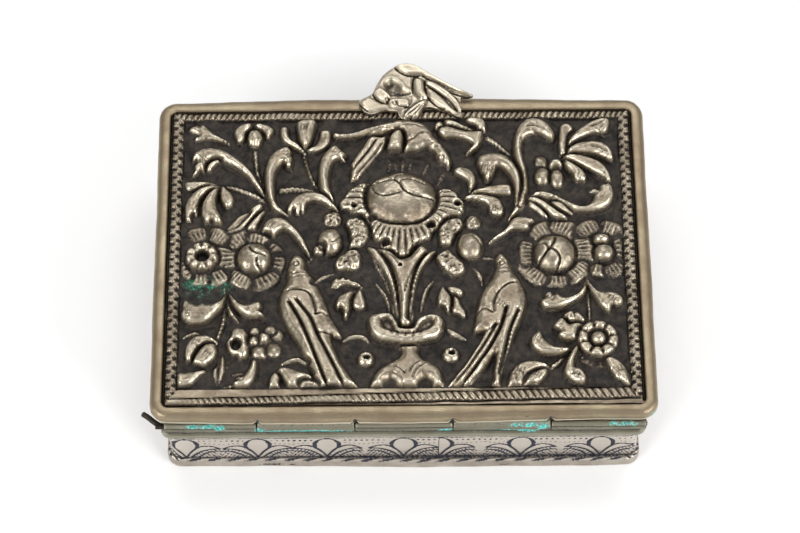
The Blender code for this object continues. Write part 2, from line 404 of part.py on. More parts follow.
def make_box():
    """Base, foot, engraved wall, rim moulding and inner bezel."""
    wall_radius = WALL_CORNER_RADIUS
    wall_bottom = BASE_THICKNESS + FIT_GAP
    finish_object("base_plate", plate("base_plate", WALL_INSET, wall_radius, 0.0, BASE_THICKNESS), OLD_SILVER, 0.45)

    foot_inset = WALL_INSET - FIT_GAP - FOOT_THICKNESS
    foot_radius = wall_radius + FIT_GAP + FOOT_THICKNESS
    inner = WALL_INSET - FIT_GAP
    inner_radius = wall_radius + FIT_GAP
    foot = [(foot_inset + FOOT_ROUNDING, foot_radius - FOOT_ROUNDING, 0.0),
            (foot_inset, foot_radius, FOOT_ROUNDING),
            (foot_inset, foot_radius, FOOT_HEIGHT - FOOT_ROUNDING),
            (foot_inset + FOOT_ROUNDING, foot_radius - FOOT_ROUNDING, FOOT_HEIGHT),
            (inner, inner_radius, FOOT_HEIGHT), (inner, inner_radius, 0.0)]
    finish_object("foot_band", sweep_frame("foot_band", foot), OLD_SILVER, 0.4)

    wall = strip_section(WALL_INSET, WALL_THICKNESS, wall_radius, wall_bottom, WALL_TOP)
    finish_object("body_wall", sweep_frame("body_wall", wall), PALE_SILVER, 0.35)

    bezel_inset = WALL_INSET + WALL_THICKNESS + FIT_GAP
    bezel = strip_section(bezel_inset, BEZEL_THICKNESS, max(wall_radius - WALL_THICKNESS - FIT_GAP, LEAST_RADIUS),
                          WALL_TOP + BEZEL_STAND - BEZEL_DEPTH, WALL_TOP + BEZEL_STAND)
    finish_object("inner_bezel", sweep_frame("inner_bezel", bezel), OLD_SILVER, 0.4)

    band_inset = BARREL_RADIUS + FIT_GAP
    neck_inset = inner - RIM_NECK_THICKNESS
    bead_inset = inner - RIM_BEAD_THICKNESS
    bead_top = RIM_BEAD_HEIGHT + RIM_BEAD_WIDTH
    cove_top = bead_top + RIM_COVE_HEIGHT
    rows = [(inner, RIM_BEAD_HEIGHT), (bead_inset, RIM_BEAD_HEIGHT)]
    rows += [(bead_inset - RIM_NECK_THICKNESS / 2, (RIM_BEAD_HEIGHT + bead_top) / 2), (bead_inset, bead_top)]
    rows += [(neck_inset, bead_top)]
    rows += [(neck_inset - (neck_inset - band_inset) * share ** 2, bead_top + RIM_COVE_HEIGHT * share)
             for share in (1 / 3, 2 / 3)]
    rows += [(band_inset, cove_top), (band_inset, WALL_TOP), (inner, WALL_TOP)]
    rim = [(inset, wall_radius + WALL_INSET - inset, z) for inset, z in rows]
    finish_object("body_rim", sweep_frame("body_rim", rim), DARK_SILVER, 0.5)


def make_knuckle(name, left, right, parent):
    """One knuckle of the barrel, a tube along the hinge axis."""
    bm = bmesh.new()
    loops = []
    for x, radius in [(left, BARREL_RADIUS), (right, BARREL_RADIUS), (right, BORE_RADIUS), (left, BORE_RADIUS)]:
        ring = []
        for step in range(ROUND_STEPS):
            angle = 2 * math.pi * step / ROUND_STEPS
            ring.append(bm.verts.new((x, AXIS_Y + radius * math.cos(angle), AXIS_Z + radius * math.sin(angle))))
        loops.append(ring)
    for first, second in zip(loops, loops[1:] + loops[:1]):
        for i in range(ROUND_STEPS):
            j = (i + 1) % ROUND_STEPS
            bm.faces.new((first[i], first[j], second[j], second[i]))
    finish_object(name, mesh_from(bm, name, math.radians(40)), OLD_SILVER, 0.4, parent)


def make_hinge(lid):
    """Five equal knuckles, three on the box and two on the lid, on one bent wire pin."""
    names = [("body_knuckle_left", None), ("lid_knuckle_left", lid), ("body_knuckle_middle", None),
             ("lid_knuckle_right", lid), ("body_knuckle_right", None)]
    pitch = BARREL_LENGTH / len(names)
    for i, (name, parent) in enumerate(names):
        left = -BARREL_LENGTH / 2 + pitch * i
        make_knuckle(name, left + FIT_GAP / 2, left + pitch - FIT_GAP / 2, parent)

    curve = bpy.data.curves.new("hinge_pin", "CURVE")
    curve.dimensions = "3D"
    curve.bevel_depth = PIN_RADIUS
    curve.bevel_resolution = 2
    curve.use_fill_caps = True
    end = BARREL_LENGTH / 2 + PIN_STUB
    places = [(end, 0.0, 0.0), (-BARREL_LENGTH / 2, 0.0, 0.0), (-end - PIN_RADIUS, 0.0, 0.0)]
    for share in (0.35, 0.7, 1.0):
        places.append((-end - PIN_RADIUS - PIN_TAIL_REACH * share, PIN_TAIL_RISE * share ** 2, 0.0))
    line = curve.splines.new("POLY")
    line.points.add(len(places) - 1)
    for point, (x, y, z) in zip(line.points, places):
        point.co = (x, AXIS_Y + y, AXIS_Z + z, 1.0)
    finish_object("hinge_pin", curve, BLACK_WIRE, 0.5)


def smooth_line(points, closed):
    """A smooth curve through the given rows, of any number of columns."""
    rows = np.array(points, float)
    count = len(rows)
    share = np.linspace(0, 1, CURVE_STEPS, endpoint=False)[:, None]
    parts = []
    for i in range(count if closed else count - 1):
        before, after = i - 1, i + 2
        if closed:
            after = after % count
        else:
            before, after = max(before, 0), min(after, count - 1)
        a, b, c, d = rows[before], rows[i], rows[(i + 1) % count], rows[after]
        parts.append(0.5 * (2 * b + (c - a) * share + (2 * a - 5 * b + 4 * c - d) * share ** 2
                            + (3 * b - a - 3 * c + d) * share ** 3))
    if not closed:
        parts.append(rows[-1:])
    return np.concatenate(parts)


def field_rows(rows):
    """Shares of the field turned into places on the sheet, with any width after them."""
    rows = np.array(rows, float)
    out = rows.copy()
    out[:, 0] = FIELD_LEFT + rows[:, 0] * FIELD_WIDTH
    out[:, 1] = FIELD_FRONT + rows[:, 1] * FIELD_DEPTH
    if rows.shape[1] > 2:
        out[:, 2] = rows[:, 2] * FIELD_WIDTH
    return out


def spans(px, py, line):
    """Distance from each point to each span of a line, and the share along that span."""
    start, end = line[:-1, :2], line[1:, :2]
    run = end - start
    length = np.maximum((run ** 2).sum(1), 1e-18)
    dx = px[None] - start[:, 0, None]
    dy = py[None] - start[:, 1, None]
    along = np.clip((dx * run[:, 0, None] + dy * run[:, 1, None]) / length[:, None], 0, 1)
    away = np.hypot(dx - along * run[:, 0, None], dy - along * run[:, 1, None])
    return away, along


def near(px, py, line, margin):
    """Which points lie in the box round a line."""
    low = line[:, :2].min(0) - margin
    high = line[:, :2].max(0) + margin
    return (px > low[0]) & (px < high[0]) & (py > low[1]) & (py < high[1])


def raise_stroke(height, px, py, line, top):
    """Raise a rounded ridge along a line whose third column is its half width."""
    widest = line[:, 2].max()
    pick = near(px, py, line, widest)
    if not pick.any():
        return
    away, along = spans(px[pick], py[pick], line)
    width = line[:-1, 2, None] * (1 - along) + line[1:, 2, None] * along
    body = np.sqrt(np.clip(1 - (away / width) ** 2, 0, 1)) * np.sqrt(width / widest)
    height[pick] = np.maximum(height[pick], top * body.max(0))


def raise_outline(height, px, py, line, top, edge):
    """Raise a cushion inside a closed line, rounded over the edge width."""
    ring = np.concatenate([line, line[:1]])
    pick = near(px, py, ring, 0.0)
    if not pick.any():
        return
    x, y = px[pick], py[pick]
    away, _ = spans(x, y, ring)
    inside = np.zeros(len(x), bool)
    for (x0, y0), (x1, y1) in zip(ring[:-1], ring[1:]):
        crosses = (y0 > y) != (y1 > y)
        level = y1 - y0 if y1 != y0 else 1.0
        inside ^= crosses & (x < x0 + (y - y0) / level * (x1 - x0))
    depth = np.where(inside, away.min(0), 0)
    rise = np.clip(depth / min(edge, max(depth.max(), 1e-9)), 0, 1)
    height[pick] = np.maximum(height[pick], top * np.sqrt(1 - (1 - rise) ** 2))


def raise_boss(height, px, py, x, y, half_x, half_y, top):
    """Raise a round or oval dome."""
    body = np.clip(1 - ((px - x) / half_x) ** 2 - ((py - y) / half_y) ** 2, 0, 1)
    np.maximum(height, top * np.sqrt(body), out=height)


def cut_line(height, px, py, line, half_width, depth):
    """Sink a rounded groove along a line."""
    reach = 2 * half_width
    pick = near(px, py, line, reach) & (height > 0)
    if not pick.any():
        return
    away, _ = spans(px[pick], py[pick], line)
    sunk = depth * np.exp(-(away.min(0) / half_width) ** 2)
    height[pick] = np.maximum(height[pick] - sunk, 0)


def relief_height(px, py):
    """Height of the embossed sheet above its ground at each place."""
    height = np.zeros(len(px))
    for x, y, inner, outer, count, first, top in PETAL_SHARES:
        centre = field_rows([(x, y)])[0]
        middle = (inner + outer) / 2 * FIELD_WIDTH
        for i in range(count):
            angle = math.radians(first + 360.0 * i / count)
            reach = (outer - inner) / 2 * FIELD_WIDTH
            across = math.pi * middle / count
            dx = px - centre[0] - middle * math.cos(angle)
            dy = py - centre[1] - middle * math.sin(angle)
            out = dx * math.cos(angle) + dy * math.sin(angle)
            side = -dx * math.sin(angle) + dy * math.cos(angle)
            raise_boss(height, out, side, 0.0, 0.0, reach, across, top * RELIEF_HEIGHT)
    for top, rows in STEM_SHARES + LEAF_SHARES:
        raise_stroke(height, px, py, smooth_line(field_rows(rows), False), top * RELIEF_HEIGHT)
    for top, edge, rows in OUTLINE_SHARES:
        line = smooth_line(field_rows(rows), True)
        raise_outline(height, px, py, line, top * RELIEF_HEIGHT, edge * FIELD_WIDTH)
    for x, y, half_x, half_y, top in BOSS_SHARES:
        centre = field_rows([(x, y)])[0]
        raise_boss(height, px, py, *centre, half_x * FIELD_WIDTH, half_y * FIELD_WIDTH, top * RELIEF_HEIGHT)
    for width, depth, rows in CUT_SHARES:
        line = smooth_line(field_rows(rows), False)
        cut_line(height, px, py, line, width * FIELD_WIDTH, depth * RELIEF_HEIGHT)
    for x, y, radius in PIT_SHARES:
        centre = field_rows([(x, y)])[0]
        body = np.clip(1 - np.hypot(px - centre[0], py - centre[1]) / (radius * FIELD_WIDTH), 0, 1)
        height *= 1 - body
    return height


def grid_solid(name, left, front, width, depth, across, deep, bottom, surface):
    """A closed block with a flat underside whose top follows the surface function."""
    x = left + width * np.linspace(0, 1, across + 1)
    y = front + depth * np.linspace(0, 1, deep + 1)
    px, py = (a.ravel() for a in np.meshgrid(x, y))
    pz = surface(px, py)
    bm = bmesh.new()
    top = [bm.verts.new(p) for p in zip(px, py, pz)]
    row = across + 1
    for j in range(deep):
        for i in range(across):
            k = j * row + i
            bm.faces.new((top[k], top[k + 1], top[k + row + 1], top[k + row]))
    border = [i for i in range(row)]
    border += [j * row + across for j in range(1, deep + 1)]
    border += [deep * row + i for i in range(across - 1, -1, -1)]
    border += [j * row for j in range(deep - 1, 0, -1)]
    low = [bm.verts.new((px[k], py[k], bottom)) for k in border]
    for i in range(len(border)):
        j = (i + 1) % len(border)
        bm.faces.new((top[border[j]], top[border[i]], low[i], low[j]))
    bm.faces.new(reversed(low))
    return mesh_from(bm, name)


def sheet_surface(px, py):
    """Top of the embossed sheet: sunk ground, raised border and the relief."""
    to_side = FIELD_WIDTH / 2 - np.abs(px)
    to_end = np.minimum(py - FIELD_FRONT, FIELD_FRONT + FIELD_DEPTH - py)
    inside = np.minimum(to_side, to_end)
    border = BORDER_RISE * np.clip(0.5 - inside / BORDER_RISE, 0, 1)
    return GROUND + np.maximum(border, relief_height(px, py))


def make_lid(lid):
    """Frame, lining and embossed sheet."""
    opening = LID_RIM_WIDTH
    section = []
    for across, up in LID_SECTION_SHARES:
        inset = across * LID_RIM_WIDTH
        radius = max(LID_CORNER_RADIUS - inset, LEAST_RADIUS)
        section.append((inset, radius, LIP_HEIGHT + up * LID_HEIGHT))
    section[-1] = (opening, LEAST_RADIUS, RIM_TOP)
    section.append((opening, LEAST_RADIUS, LEDGE_TOP))
    section.append((opening + LEDGE_WIDTH, LEAST_RADIUS, LEDGE_TOP))
    section.append((opening + LEDGE_WIDTH, LEAST_RADIUS, LIP_HEIGHT))
    finish_object("lid_frame", sweep_frame("lid_frame", section), OLD_SILVER, 0.4, lid)

    lining = plate("lid_lining", SHEET_INSET, LEAST_RADIUS, LINING_BOTTOM, LINING_BOTTOM + LINING_THICKNESS)
    finish_object("lid_lining", lining, PALE_SILVER, 0.4, lid)

    sheet = grid_solid("embossed_sheet", -SHEET_WIDTH / 2, -SHEET_DEPTH / 2, SHEET_WIDTH, SHEET_DEPTH,
                       SHEET_CELLS_ACROSS, SHEET_CELLS_DEEP, SHEET_BOTTOM, sheet_surface)
    thing = finish_object("embossed_sheet", sheet, OLD_SILVER, 0.35, lid)
    thin = thing.modifiers.new("fewer_faces", "DECIMATE")
    thin.ratio = SHEET_KEEP_SHARE


def thumb_rows(rows):
    """Shares of the thumb piece turned into places, with any width after them."""
    rows = np.array(rows, float)
    out = rows.copy()
    out[:, 0] = (rows[:, 0] - THUMB_LEFT_SHARE) * THUMB_LENGTH
    out[:, 1] = CASE_DEPTH / 2 - THUMB_OVERLAP + rows[:, 1] * THUMB_REACH
    if rows.shape[1] > 2:
        out[:, 2] = rows[:, 2] * THUMB_REACH
    return out


def make_thumb_piece(lid):
    """The soldered tab, a bird with its head curled down, that lifts the lid."""
    outline = smooth_line(thumb_rows(THUMB_OUTLINE_SHARES), True)
    bottom = GROUND + BORDER_RISE + THUMB_LIFT
    low, high = outline.min(0) - THUMB_THICKNESS, outline.max(0) + THUMB_THICKNESS

    def surface(px, py):
        height = np.zeros(len(px))
        raise_outline(height, px, py, outline, THUMB_CROWN / 2, THUMB_EDGE)
        for top, rows in THUMB_RIDGE_SHARES:
            raise_stroke(height, px, py, smooth_line(thumb_rows(rows), False), top * THUMB_CROWN)
        return bottom + THUMB_THICKNESS + height

    block = grid_solid("thumb_piece", low[0], low[1], *(high - low), THUMB_CELLS_ACROSS, THUMB_CELLS_DEEP,
                       bottom, surface)
    thing = finish_object("thumb_piece", block, OLD_SILVER, 0.35, lid)
    bm = bmesh.new()
    under, over = bottom - THUMB_THICKNESS, bottom + 2 * (THUMB_THICKNESS + THUMB_CROWN)
    face = bm.faces.new([bm.verts.new((x, y, under)) for x, y in outline])
    grown = bmesh.ops.extrude_face_region(bm, geom=[face])
    corners = [g for g in grown["geom"] if isinstance(g, bmesh.types.BMVert)]
    bmesh.ops.translate(bm, verts=corners, vec=(0, 0, over - under))
    cutter = bpy.data.objects.new("thumb_outline_cutter", mesh_from(bm, "thumb_outline_cutter"))
    bpy.context.collection.objects.link(cutter)
    cutter.hide_render = True
    cutter.display_type = "WIRE"
    trim = thing.modifiers.new("trim_to_outline", "BOOLEAN")
    trim.operation = "INTERSECT"
    trim.object = cutter


def main():
    """Build the whole case."""
    clear_scene()
    lid = bpy.data.objects.new("lid_axis", None)
    lid.location = (0.0, AXIS_Y, AXIS_Z)
    bpy.context.collection.objects.link(lid)
    bpy.context.view_layer.update()
    make_box()
    make_hinge(lid)
    make_lid(lid)
    make_thumb_piece(lid)


main()
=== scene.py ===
"""Hinged tobacco case of aged silver, dressed for its picture.

The lid's embossed sheet, its rope border, the moulded frame, the bird-shaped thumb
piece, the engraved wall, the mouldings of the box and the barrel hinge are worked
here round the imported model, and every surface gets the finish of old silver.
"""

import math

import bpy
import numpy as np
from bpy.props import FloatProperty, FloatVectorProperty, PointerProperty
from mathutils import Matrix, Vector


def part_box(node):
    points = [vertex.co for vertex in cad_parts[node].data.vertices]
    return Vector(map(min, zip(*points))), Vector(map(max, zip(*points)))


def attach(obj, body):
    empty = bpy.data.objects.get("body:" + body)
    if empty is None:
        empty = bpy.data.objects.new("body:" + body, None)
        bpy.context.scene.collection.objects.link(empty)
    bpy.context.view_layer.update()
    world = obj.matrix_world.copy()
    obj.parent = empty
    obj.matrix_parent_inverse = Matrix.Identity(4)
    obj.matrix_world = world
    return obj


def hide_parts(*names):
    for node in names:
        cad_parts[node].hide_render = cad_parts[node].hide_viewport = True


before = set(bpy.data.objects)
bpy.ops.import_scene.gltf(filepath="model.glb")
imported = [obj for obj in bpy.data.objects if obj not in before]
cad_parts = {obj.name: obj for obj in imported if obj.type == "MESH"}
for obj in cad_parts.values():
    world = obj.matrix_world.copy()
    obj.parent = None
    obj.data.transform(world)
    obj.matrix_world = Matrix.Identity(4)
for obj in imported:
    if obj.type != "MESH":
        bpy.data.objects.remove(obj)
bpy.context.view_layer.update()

bl_info = {
    "name": "Tobacco Case",
    "version": (1, 0, 0),
    "blender": (4, 5, 0),
    "location": "3D View > Sidebar > Tobacco Case",
    "description": "Builds a hinged tobacco case of aged silver with an embossed lid",
    "category": "Object",
}

MM = 0.001
FRAME_LOW, FRAME_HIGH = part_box("lid_frame")
SHEET_LOW, SHEET_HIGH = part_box("embossed_sheet")
WALL_LOW, WALL_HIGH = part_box("body_wall")
FOOT_LOW, FOOT_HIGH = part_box("foot_band")
RIM_LOW, RIM_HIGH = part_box("body_rim")
THUMB_LOW, THUMB_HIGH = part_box("thumb_piece")
BARREL_LOW, BARREL_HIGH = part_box("body_knuckle_middle")
PIN_LOW, PIN_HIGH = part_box("hinge_pin")
KNUCKLES = ("body_knuckle_left", "lid_knuckle_left", "body_knuckle_middle",
            "lid_knuckle_right", "body_knuckle_right")

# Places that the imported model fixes, in millimetres
CASE_HALF_X = FRAME_HIGH.x / MM
CASE_HALF_Y = FRAME_HIGH.y / MM
RIM_TOP = FRAME_HIGH.z / MM
SHEET_HALF_X = SHEET_HIGH.x / MM
SHEET_HALF_Y = SHEET_HIGH.y / MM
SHEET_BOTTOM = SHEET_LOW.z / MM
AXIS_Y = (BARREL_LOW.y + BARREL_HIGH.y) / 2 / MM
AXIS_Z = (BARREL_LOW.z + BARREL_HIGH.z) / 2 / MM

SHEET_THICKNESS = 0.35
GROUND = SHEET_BOTTOM + SHEET_THICKNESS
BORDER_SIDE = 2.6
BORDER_BACK = 1.9
BORDER_FRONT = 3.4
BORDER_RISE = 0.6
FIELD_LEFT = -SHEET_HALF_X + BORDER_SIDE
FIELD_FRONT = -SHEET_HALF_Y + BORDER_FRONT
FIELD_WIDTH = -2 * FIELD_LEFT
FIELD_DEPTH = SHEET_HALF_Y - BORDER_BACK - FIELD_FRONT

LID_CORNER = 3.3
FOOT_HALF_X, FOOT_HALF_Y = FOOT_HIGH.x / MM, FOOT_HIGH.y / MM
WALL_HALF_X, WALL_HALF_Y, WALL_CORNER, WALL_THICKNESS = WALL_HIGH.x / MM, WALL_HIGH.y / MM, 1.8, 0.75
WALL_SEAM, WALL_SEAM_GAP, WALL_CELL = 6.4, 0.12, 0.19
BARREL_LENGTH = 87.2
KNUCKLE_BREAKS = [(i - 1.5) * BARREL_LENGTH / 5 for i in range(4)]
FIELD_CELLS_ACROSS, FIELD_CELLS_DEEP = 372, 258
BORDER_CELL = 0.15
THUMB_CELL = 0.12

# A knuckle from end to end and back through its bore: share of its half length, radius
KNUCKLE_SECTIONS = [(-1.0, 0.72), (-1.0, 0.92), (-0.994, 1.0), (-0.98, 1.04)] + \
    [(i / 15, 1.05) for i in range(-14, 15)] + [(0.98, 1.04), (0.994, 1.0), (1.0, 0.92), (1.0, 0.72)]
# Verdigris on the knuckles: across, half length in millimetres, strength, degrees round the wire
BARREL_VERDIGRIS = [(-35.6, 4.4, 1.05, 122), (-33.0, 1.4, 1.3, 140), (-18.0, 9.3, 1.6, 197), (-25.8, 1.0, 1.2, 160),
    (7.4, 1.6, 1.5, 190), (22.2, 4.0, 1.0, 125), (24.8, 1.2, 1.4, 150), (20.0, 5.0, 1.1, 198), (37.5, 1.2, 1.1, 118),
    (40.0, 1.6, 1.1, 118)]

# The thumb piece in shares of its box: outline, pads with height and edge in millimetres
THUMB_OUTLINE = [(0.006, 0.31), (0.05, 0.37), (0.105, 0.437), (0.123, 0.506), (0.155, 0.644), (0.198, 0.783),
    (0.248, 0.878), (0.29, 0.95), (0.348, 0.985), (0.405, 0.985), (0.462, 0.935), (0.532, 0.84), (0.603, 0.745),
    (0.673, 0.65), (0.744, 0.565), (0.814, 0.475), (0.885, 0.405), (0.845, 0.375), (0.79, 0.36), (0.792, 0.22),
    (0.785, 0.03), (0.74, 0.045), (0.698, 0.11), (0.656, 0.14), (0.6, 0.17), (0.537, 0.2), (0.501, 0.16),
    (0.479, 0.07), (0.45, -0.01), (0.39, -0.035), (0.344, -0.02), (0.316, 0.03), (0.3, 0.12), (0.25, 0.13),
    (0.204, 0.15), (0.161, 0.12), (0.105, 0.075), (0.055, 0.11), (0.015, 0.2)]
THUMB_PADS = [
    (0.55, 0.9, [(0.09, 0.41), (0.12, 0.52), (0.15, 0.65), (0.195, 0.79), (0.25, 0.885), (0.3, 0.94), (0.36, 0.97),
     (0.42, 0.95), (0.48, 0.89), (0.52, 0.8), (0.56, 0.6), (0.55, 0.4), (0.5, 0.2), (0.46, 0.02), (0.35, 0.0),
     (0.3, 0.15), (0.2, 0.2), (0.13, 0.3)]),
    (0.35, 0.7, [(0.02, 0.3), (0.08, 0.38), (0.13, 0.33), (0.18, 0.27), (0.24, 0.24), (0.23, 0.17), (0.16, 0.14),
     (0.105, 0.1), (0.06, 0.13), (0.03, 0.2)]),
    (0.95, 0.7, [(0.12, 0.45), (0.14, 0.36), (0.19, 0.29), (0.24, 0.29), (0.25, 0.38), (0.21, 0.48), (0.16, 0.54)]),
    (0.6, 0.35, [(0.24, 0.33), (0.38, 0.33), (0.385, 0.2), (0.3, 0.17), (0.245, 0.22)]),
    (1.15, 0.8, [(0.29, 0.93), (0.34, 0.82), (0.39, 0.77), (0.455, 0.77), (0.51, 0.75), (0.6, 0.66), (0.7, 0.53),
     (0.79, 0.43), (0.88, 0.4), (0.81, 0.48), (0.74, 0.56), (0.67, 0.645), (0.6, 0.74), (0.53, 0.835), (0.46, 0.93),
     (0.4, 0.975), (0.345, 0.975)]),
    (0.8, 0.6, [(0.52, 0.68), (0.6, 0.62), (0.68, 0.5), (0.74, 0.38), (0.8, 0.2), (0.78, 0.1), (0.72, 0.24),
     (0.66, 0.38), (0.58, 0.52), (0.52, 0.6)]),
    (0.6, 0.5, [(0.53, 0.54), (0.58, 0.48), (0.65, 0.34), (0.72, 0.17), (0.77, 0.06), (0.72, 0.09), (0.64, 0.2),
     (0.57, 0.32), (0.53, 0.42)]),
    (0.85, 0.7, [(0.43, 0.7), (0.5, 0.68), (0.51, 0.5), (0.54, 0.37), (0.5, 0.28), (0.46, 0.38), (0.43, 0.5)]),
    (1.0, 0.6, [(0.35, 0.0), (0.37, 0.1), (0.42, 0.2), (0.47, 0.27), (0.53, 0.31), (0.51, 0.2), (0.48, 0.08),
     (0.45, 0.0)]),
]
THUMB_PIT = [(0.2, 0.5), (0.19, 0.6), (0.22, 0.68), (0.27, 0.7), (0.32, 0.62), (0.35, 0.52), (0.4, 0.45), (0.4, 0.39),
    (0.33, 0.36), (0.25, 0.38)]
THUMB_LINES = [
    (0.14, 0.36, [(0.28, 0.93), (0.3, 0.85), (0.348, 0.78), (0.39, 0.745), (0.46, 0.745)]),
    (0.12, 0.34, [(0.432, 0.72), (0.418, 0.57), (0.42, 0.42)]),
    (0.13, 0.4, [(0.514, 0.66), (0.516, 0.5), (0.537, 0.36), (0.6, 0.22), (0.66, 0.15)]),
    (0.14, 0.36, [(0.5, 0.75), (0.6, 0.6), (0.7, 0.47), (0.78, 0.4), (0.86, 0.37)]),
    (0.14, 0.4, [(0.7, 0.46), (0.76, 0.32), (0.79, 0.16)]),
    (0.11, 0.3, [(0.524, 0.6), (0.62, 0.44), (0.7, 0.3), (0.76, 0.12)]),
    (0.13, 0.36, [(0.105, 0.437), (0.14, 0.333), (0.183, 0.27), (0.22, 0.26)]),
    (0.15, 0.4, [(-0.01, 0.31), (0.03, 0.2), (0.07, 0.13)]),
    (0.15, 0.4, [(0.29, 0.29), (0.31, 0.21), (0.37, 0.19)]),
    (0.13, 0.35, [(0.37, 0.02), (0.42, 0.1), (0.47, 0.2)]),
    (0.13, 0.35, [(0.4, -0.02), (0.45, 0.08), (0.49, 0.2)]),
    (0.13, 0.3, [(0.26, 0.27), (0.27, 0.24), (0.285, 0.22)]),
]
THUMB_RINGS = [(0.222, 0.315, 0.32)]

# Stage: lights by direction, size in metres and power in watts; camera in degrees, millimetres and metres
LIGHTS = [
    ("soft_box_left", (-0.75, -0.62, 0.5), (0.7, 0.5), 8.0),
    ("soft_box_right", (0.8, -0.6, 0.5), (0.7, 0.5), 9.0),
    ("soft_box_top", (0.05, 0.45, 0.9), (1.0, 0.8), 6.0),
]
LIGHT_DISTANCE = 1.2
ROOM_STRENGTH = 0.55
CAMERA_RISE, CAMERA_TURN, CAMERA_DISTANCE, CAMERA_LENS = 61.0, -0.48, 0.552, 133.29
CAMERA_TARGET = (-0.38, 4.03, 12.0)

# Sections of the mouldings: inset and height in millimetres, once round
FRAME_SECTIONS = [(3.0, 21.75), (3.0, 22.3), (2.04, 22.3), (2.02, 23.6), (2.0, 23.98), (1.92, 24.12), (1.75, 24.2),
    (1.45, 24.22), (1.1, 24.2), (0.8, 24.13), (0.52, 24.0), (0.3, 23.8), (0.14, 23.5), (0.05, 23.1), (0.02, 22.7),
    (0.06, 22.4), (0.1, 22.25), (0.04, 22.12), (0.0, 21.98), (0.03, 21.84), (0.14, 21.74), (0.3, 21.7), (1.0, 21.7),
    (2.2, 21.7)]
FOOT_SECTIONS = [(1.2, 0.25), (1.2, 2.5), (0.9, 2.45), (0.78, 2.4), (0.68, 2.44), (0.58, 2.44), (0.48, 2.41),
    (0.38, 2.37), (0.28, 2.3), (0.18, 2.2), (0.1, 2.06), (0.05, 1.9), (0.02, 1.6), (0.0, 1.1), (0.02, 0.5),
    (0.06, 0.2), (0.2, 0.05), (0.4, 0.0), (0.8, 0.0)]
# Stains on the foot's hinge side: across, half length and height in millimetres
FOOT_MARKS = [(-24.3, 2.2, 0.9), (-20.3, 0.7, 0.9), (18.6, 0.5, 0.9), (6.4, 0.12, 1.2), (6.4, 0.12, 1.8)]
MOUTH_SECTIONS = [(2.2, 12.8), (2.2, 21.3), (1.5, 21.35), (1.38, 21.3), (1.35, 21.1), (1.35, 19.0), (1.4, 18.4),
    (1.52, 17.4), (1.62, 16.4), (1.66, 15.8), (1.67, 15.2), (1.66, 14.8), (1.62, 14.4), (1.56, 14.2), (1.44, 14.05),
    (1.32, 13.95), (1.25, 13.75), (1.22, 13.45), (1.22, 13.15), (1.26, 12.9), (1.34, 12.74), (1.5, 12.64),
    (1.8, 12.6)]
WALL_ROWS = ([1.25, 1.9] + [2.3 + 0.18 * i for i in range(54)] + [12.4, 14.5, 18.0, 21.3])

# Ropes of the border's sides, back and front: bands in shares of the border's width
ROPES = [
    dict(band=(0.12, 0.93), pitch=1.75, slant=0.5, punched=True, depth=0.85, worn=()),
    dict(band=(0.16, 0.95), pitch=1.1, slant=0.7, punched=False, depth=0.75, worn=((-20.0, 5.0, 0.4),)),
    dict(band=(0.04, 0.42), pitch=0.62, slant=0.9, punched=False, depth=0.75,
         worn=((-42.0, 5.0, 1.0), (-14.0, 5.5, 0.7), (4.0, 2.0, 0.4))),
]
BORDER_PLAIN = 0.5

# A scratch on the rim's hinge side: across, height and half width in millimetres
RIM_SCRATCH = [(21.3, 23.75, 0.1), (21.9, 23.3, 0.12), (22.6, 22.8, 0.06)]
# Verdigris on the rim's hinge side: across, height, radius in millimetres, strength
RIM_VERDIGRIS = [(-38.0, 21.7, 2.2, 0.45), (-26.0, 21.7, 1.0, 0.6), (8.7, 21.7, 1.2, 0.6), (25.0, 21.7, 1.6, 0.6),
                 (44.8, 22.4, 1.6, 1.0)]

# Engraving of the wall: middles of the arches by distance round, then lines with half widths
PALMETTES = (-39.8, -26.6, -14.0, 0.0, 6.6, 21.4, 35.9)
ENGRAVED_LINES = [
    [(0.1, 2.8, 0.1), (0.8, 4.4, 0.12), (1.6, 5.75, 0.16), (2.5, 6.75, 0.14), (3.6, 7.25, 0.1), (4.8, 7.1, 0.1),
     (5.8, 6.5, 0.1), (6.3, 6.0, 0.12)],
    [(1.0, 2.7, 0.1), (1.9, 4.0, 0.14), (3.0, 5.1, 0.13), (4.3, 5.8, 0.1), (5.4, 6.05, 0.1), (6.3, 5.95, 0.1)],
    [(0.0, 9.95, 0.03), (0.8, 9.8, 0.06), (1.6, 9.2, 0.16), (2.15, 8.2, 0.3), (2.2, 7.3, 0.24), (1.95, 6.5, 0.1)],
    [(2.5, 2.9, 0.06), (3.4, 4.0, 0.12), (4.4, 4.7, 0.14), (5.4, 5.0, 0.08), (6.3, 5.0, 0.04)],
]
ENGRAVED_SHADE = [(1.3, 2.6), (2.1, 3.9), (3.1, 5.0), (4.3, 5.7), (5.4, 5.95), (6.6, 5.8), (6.9, 2.6)]

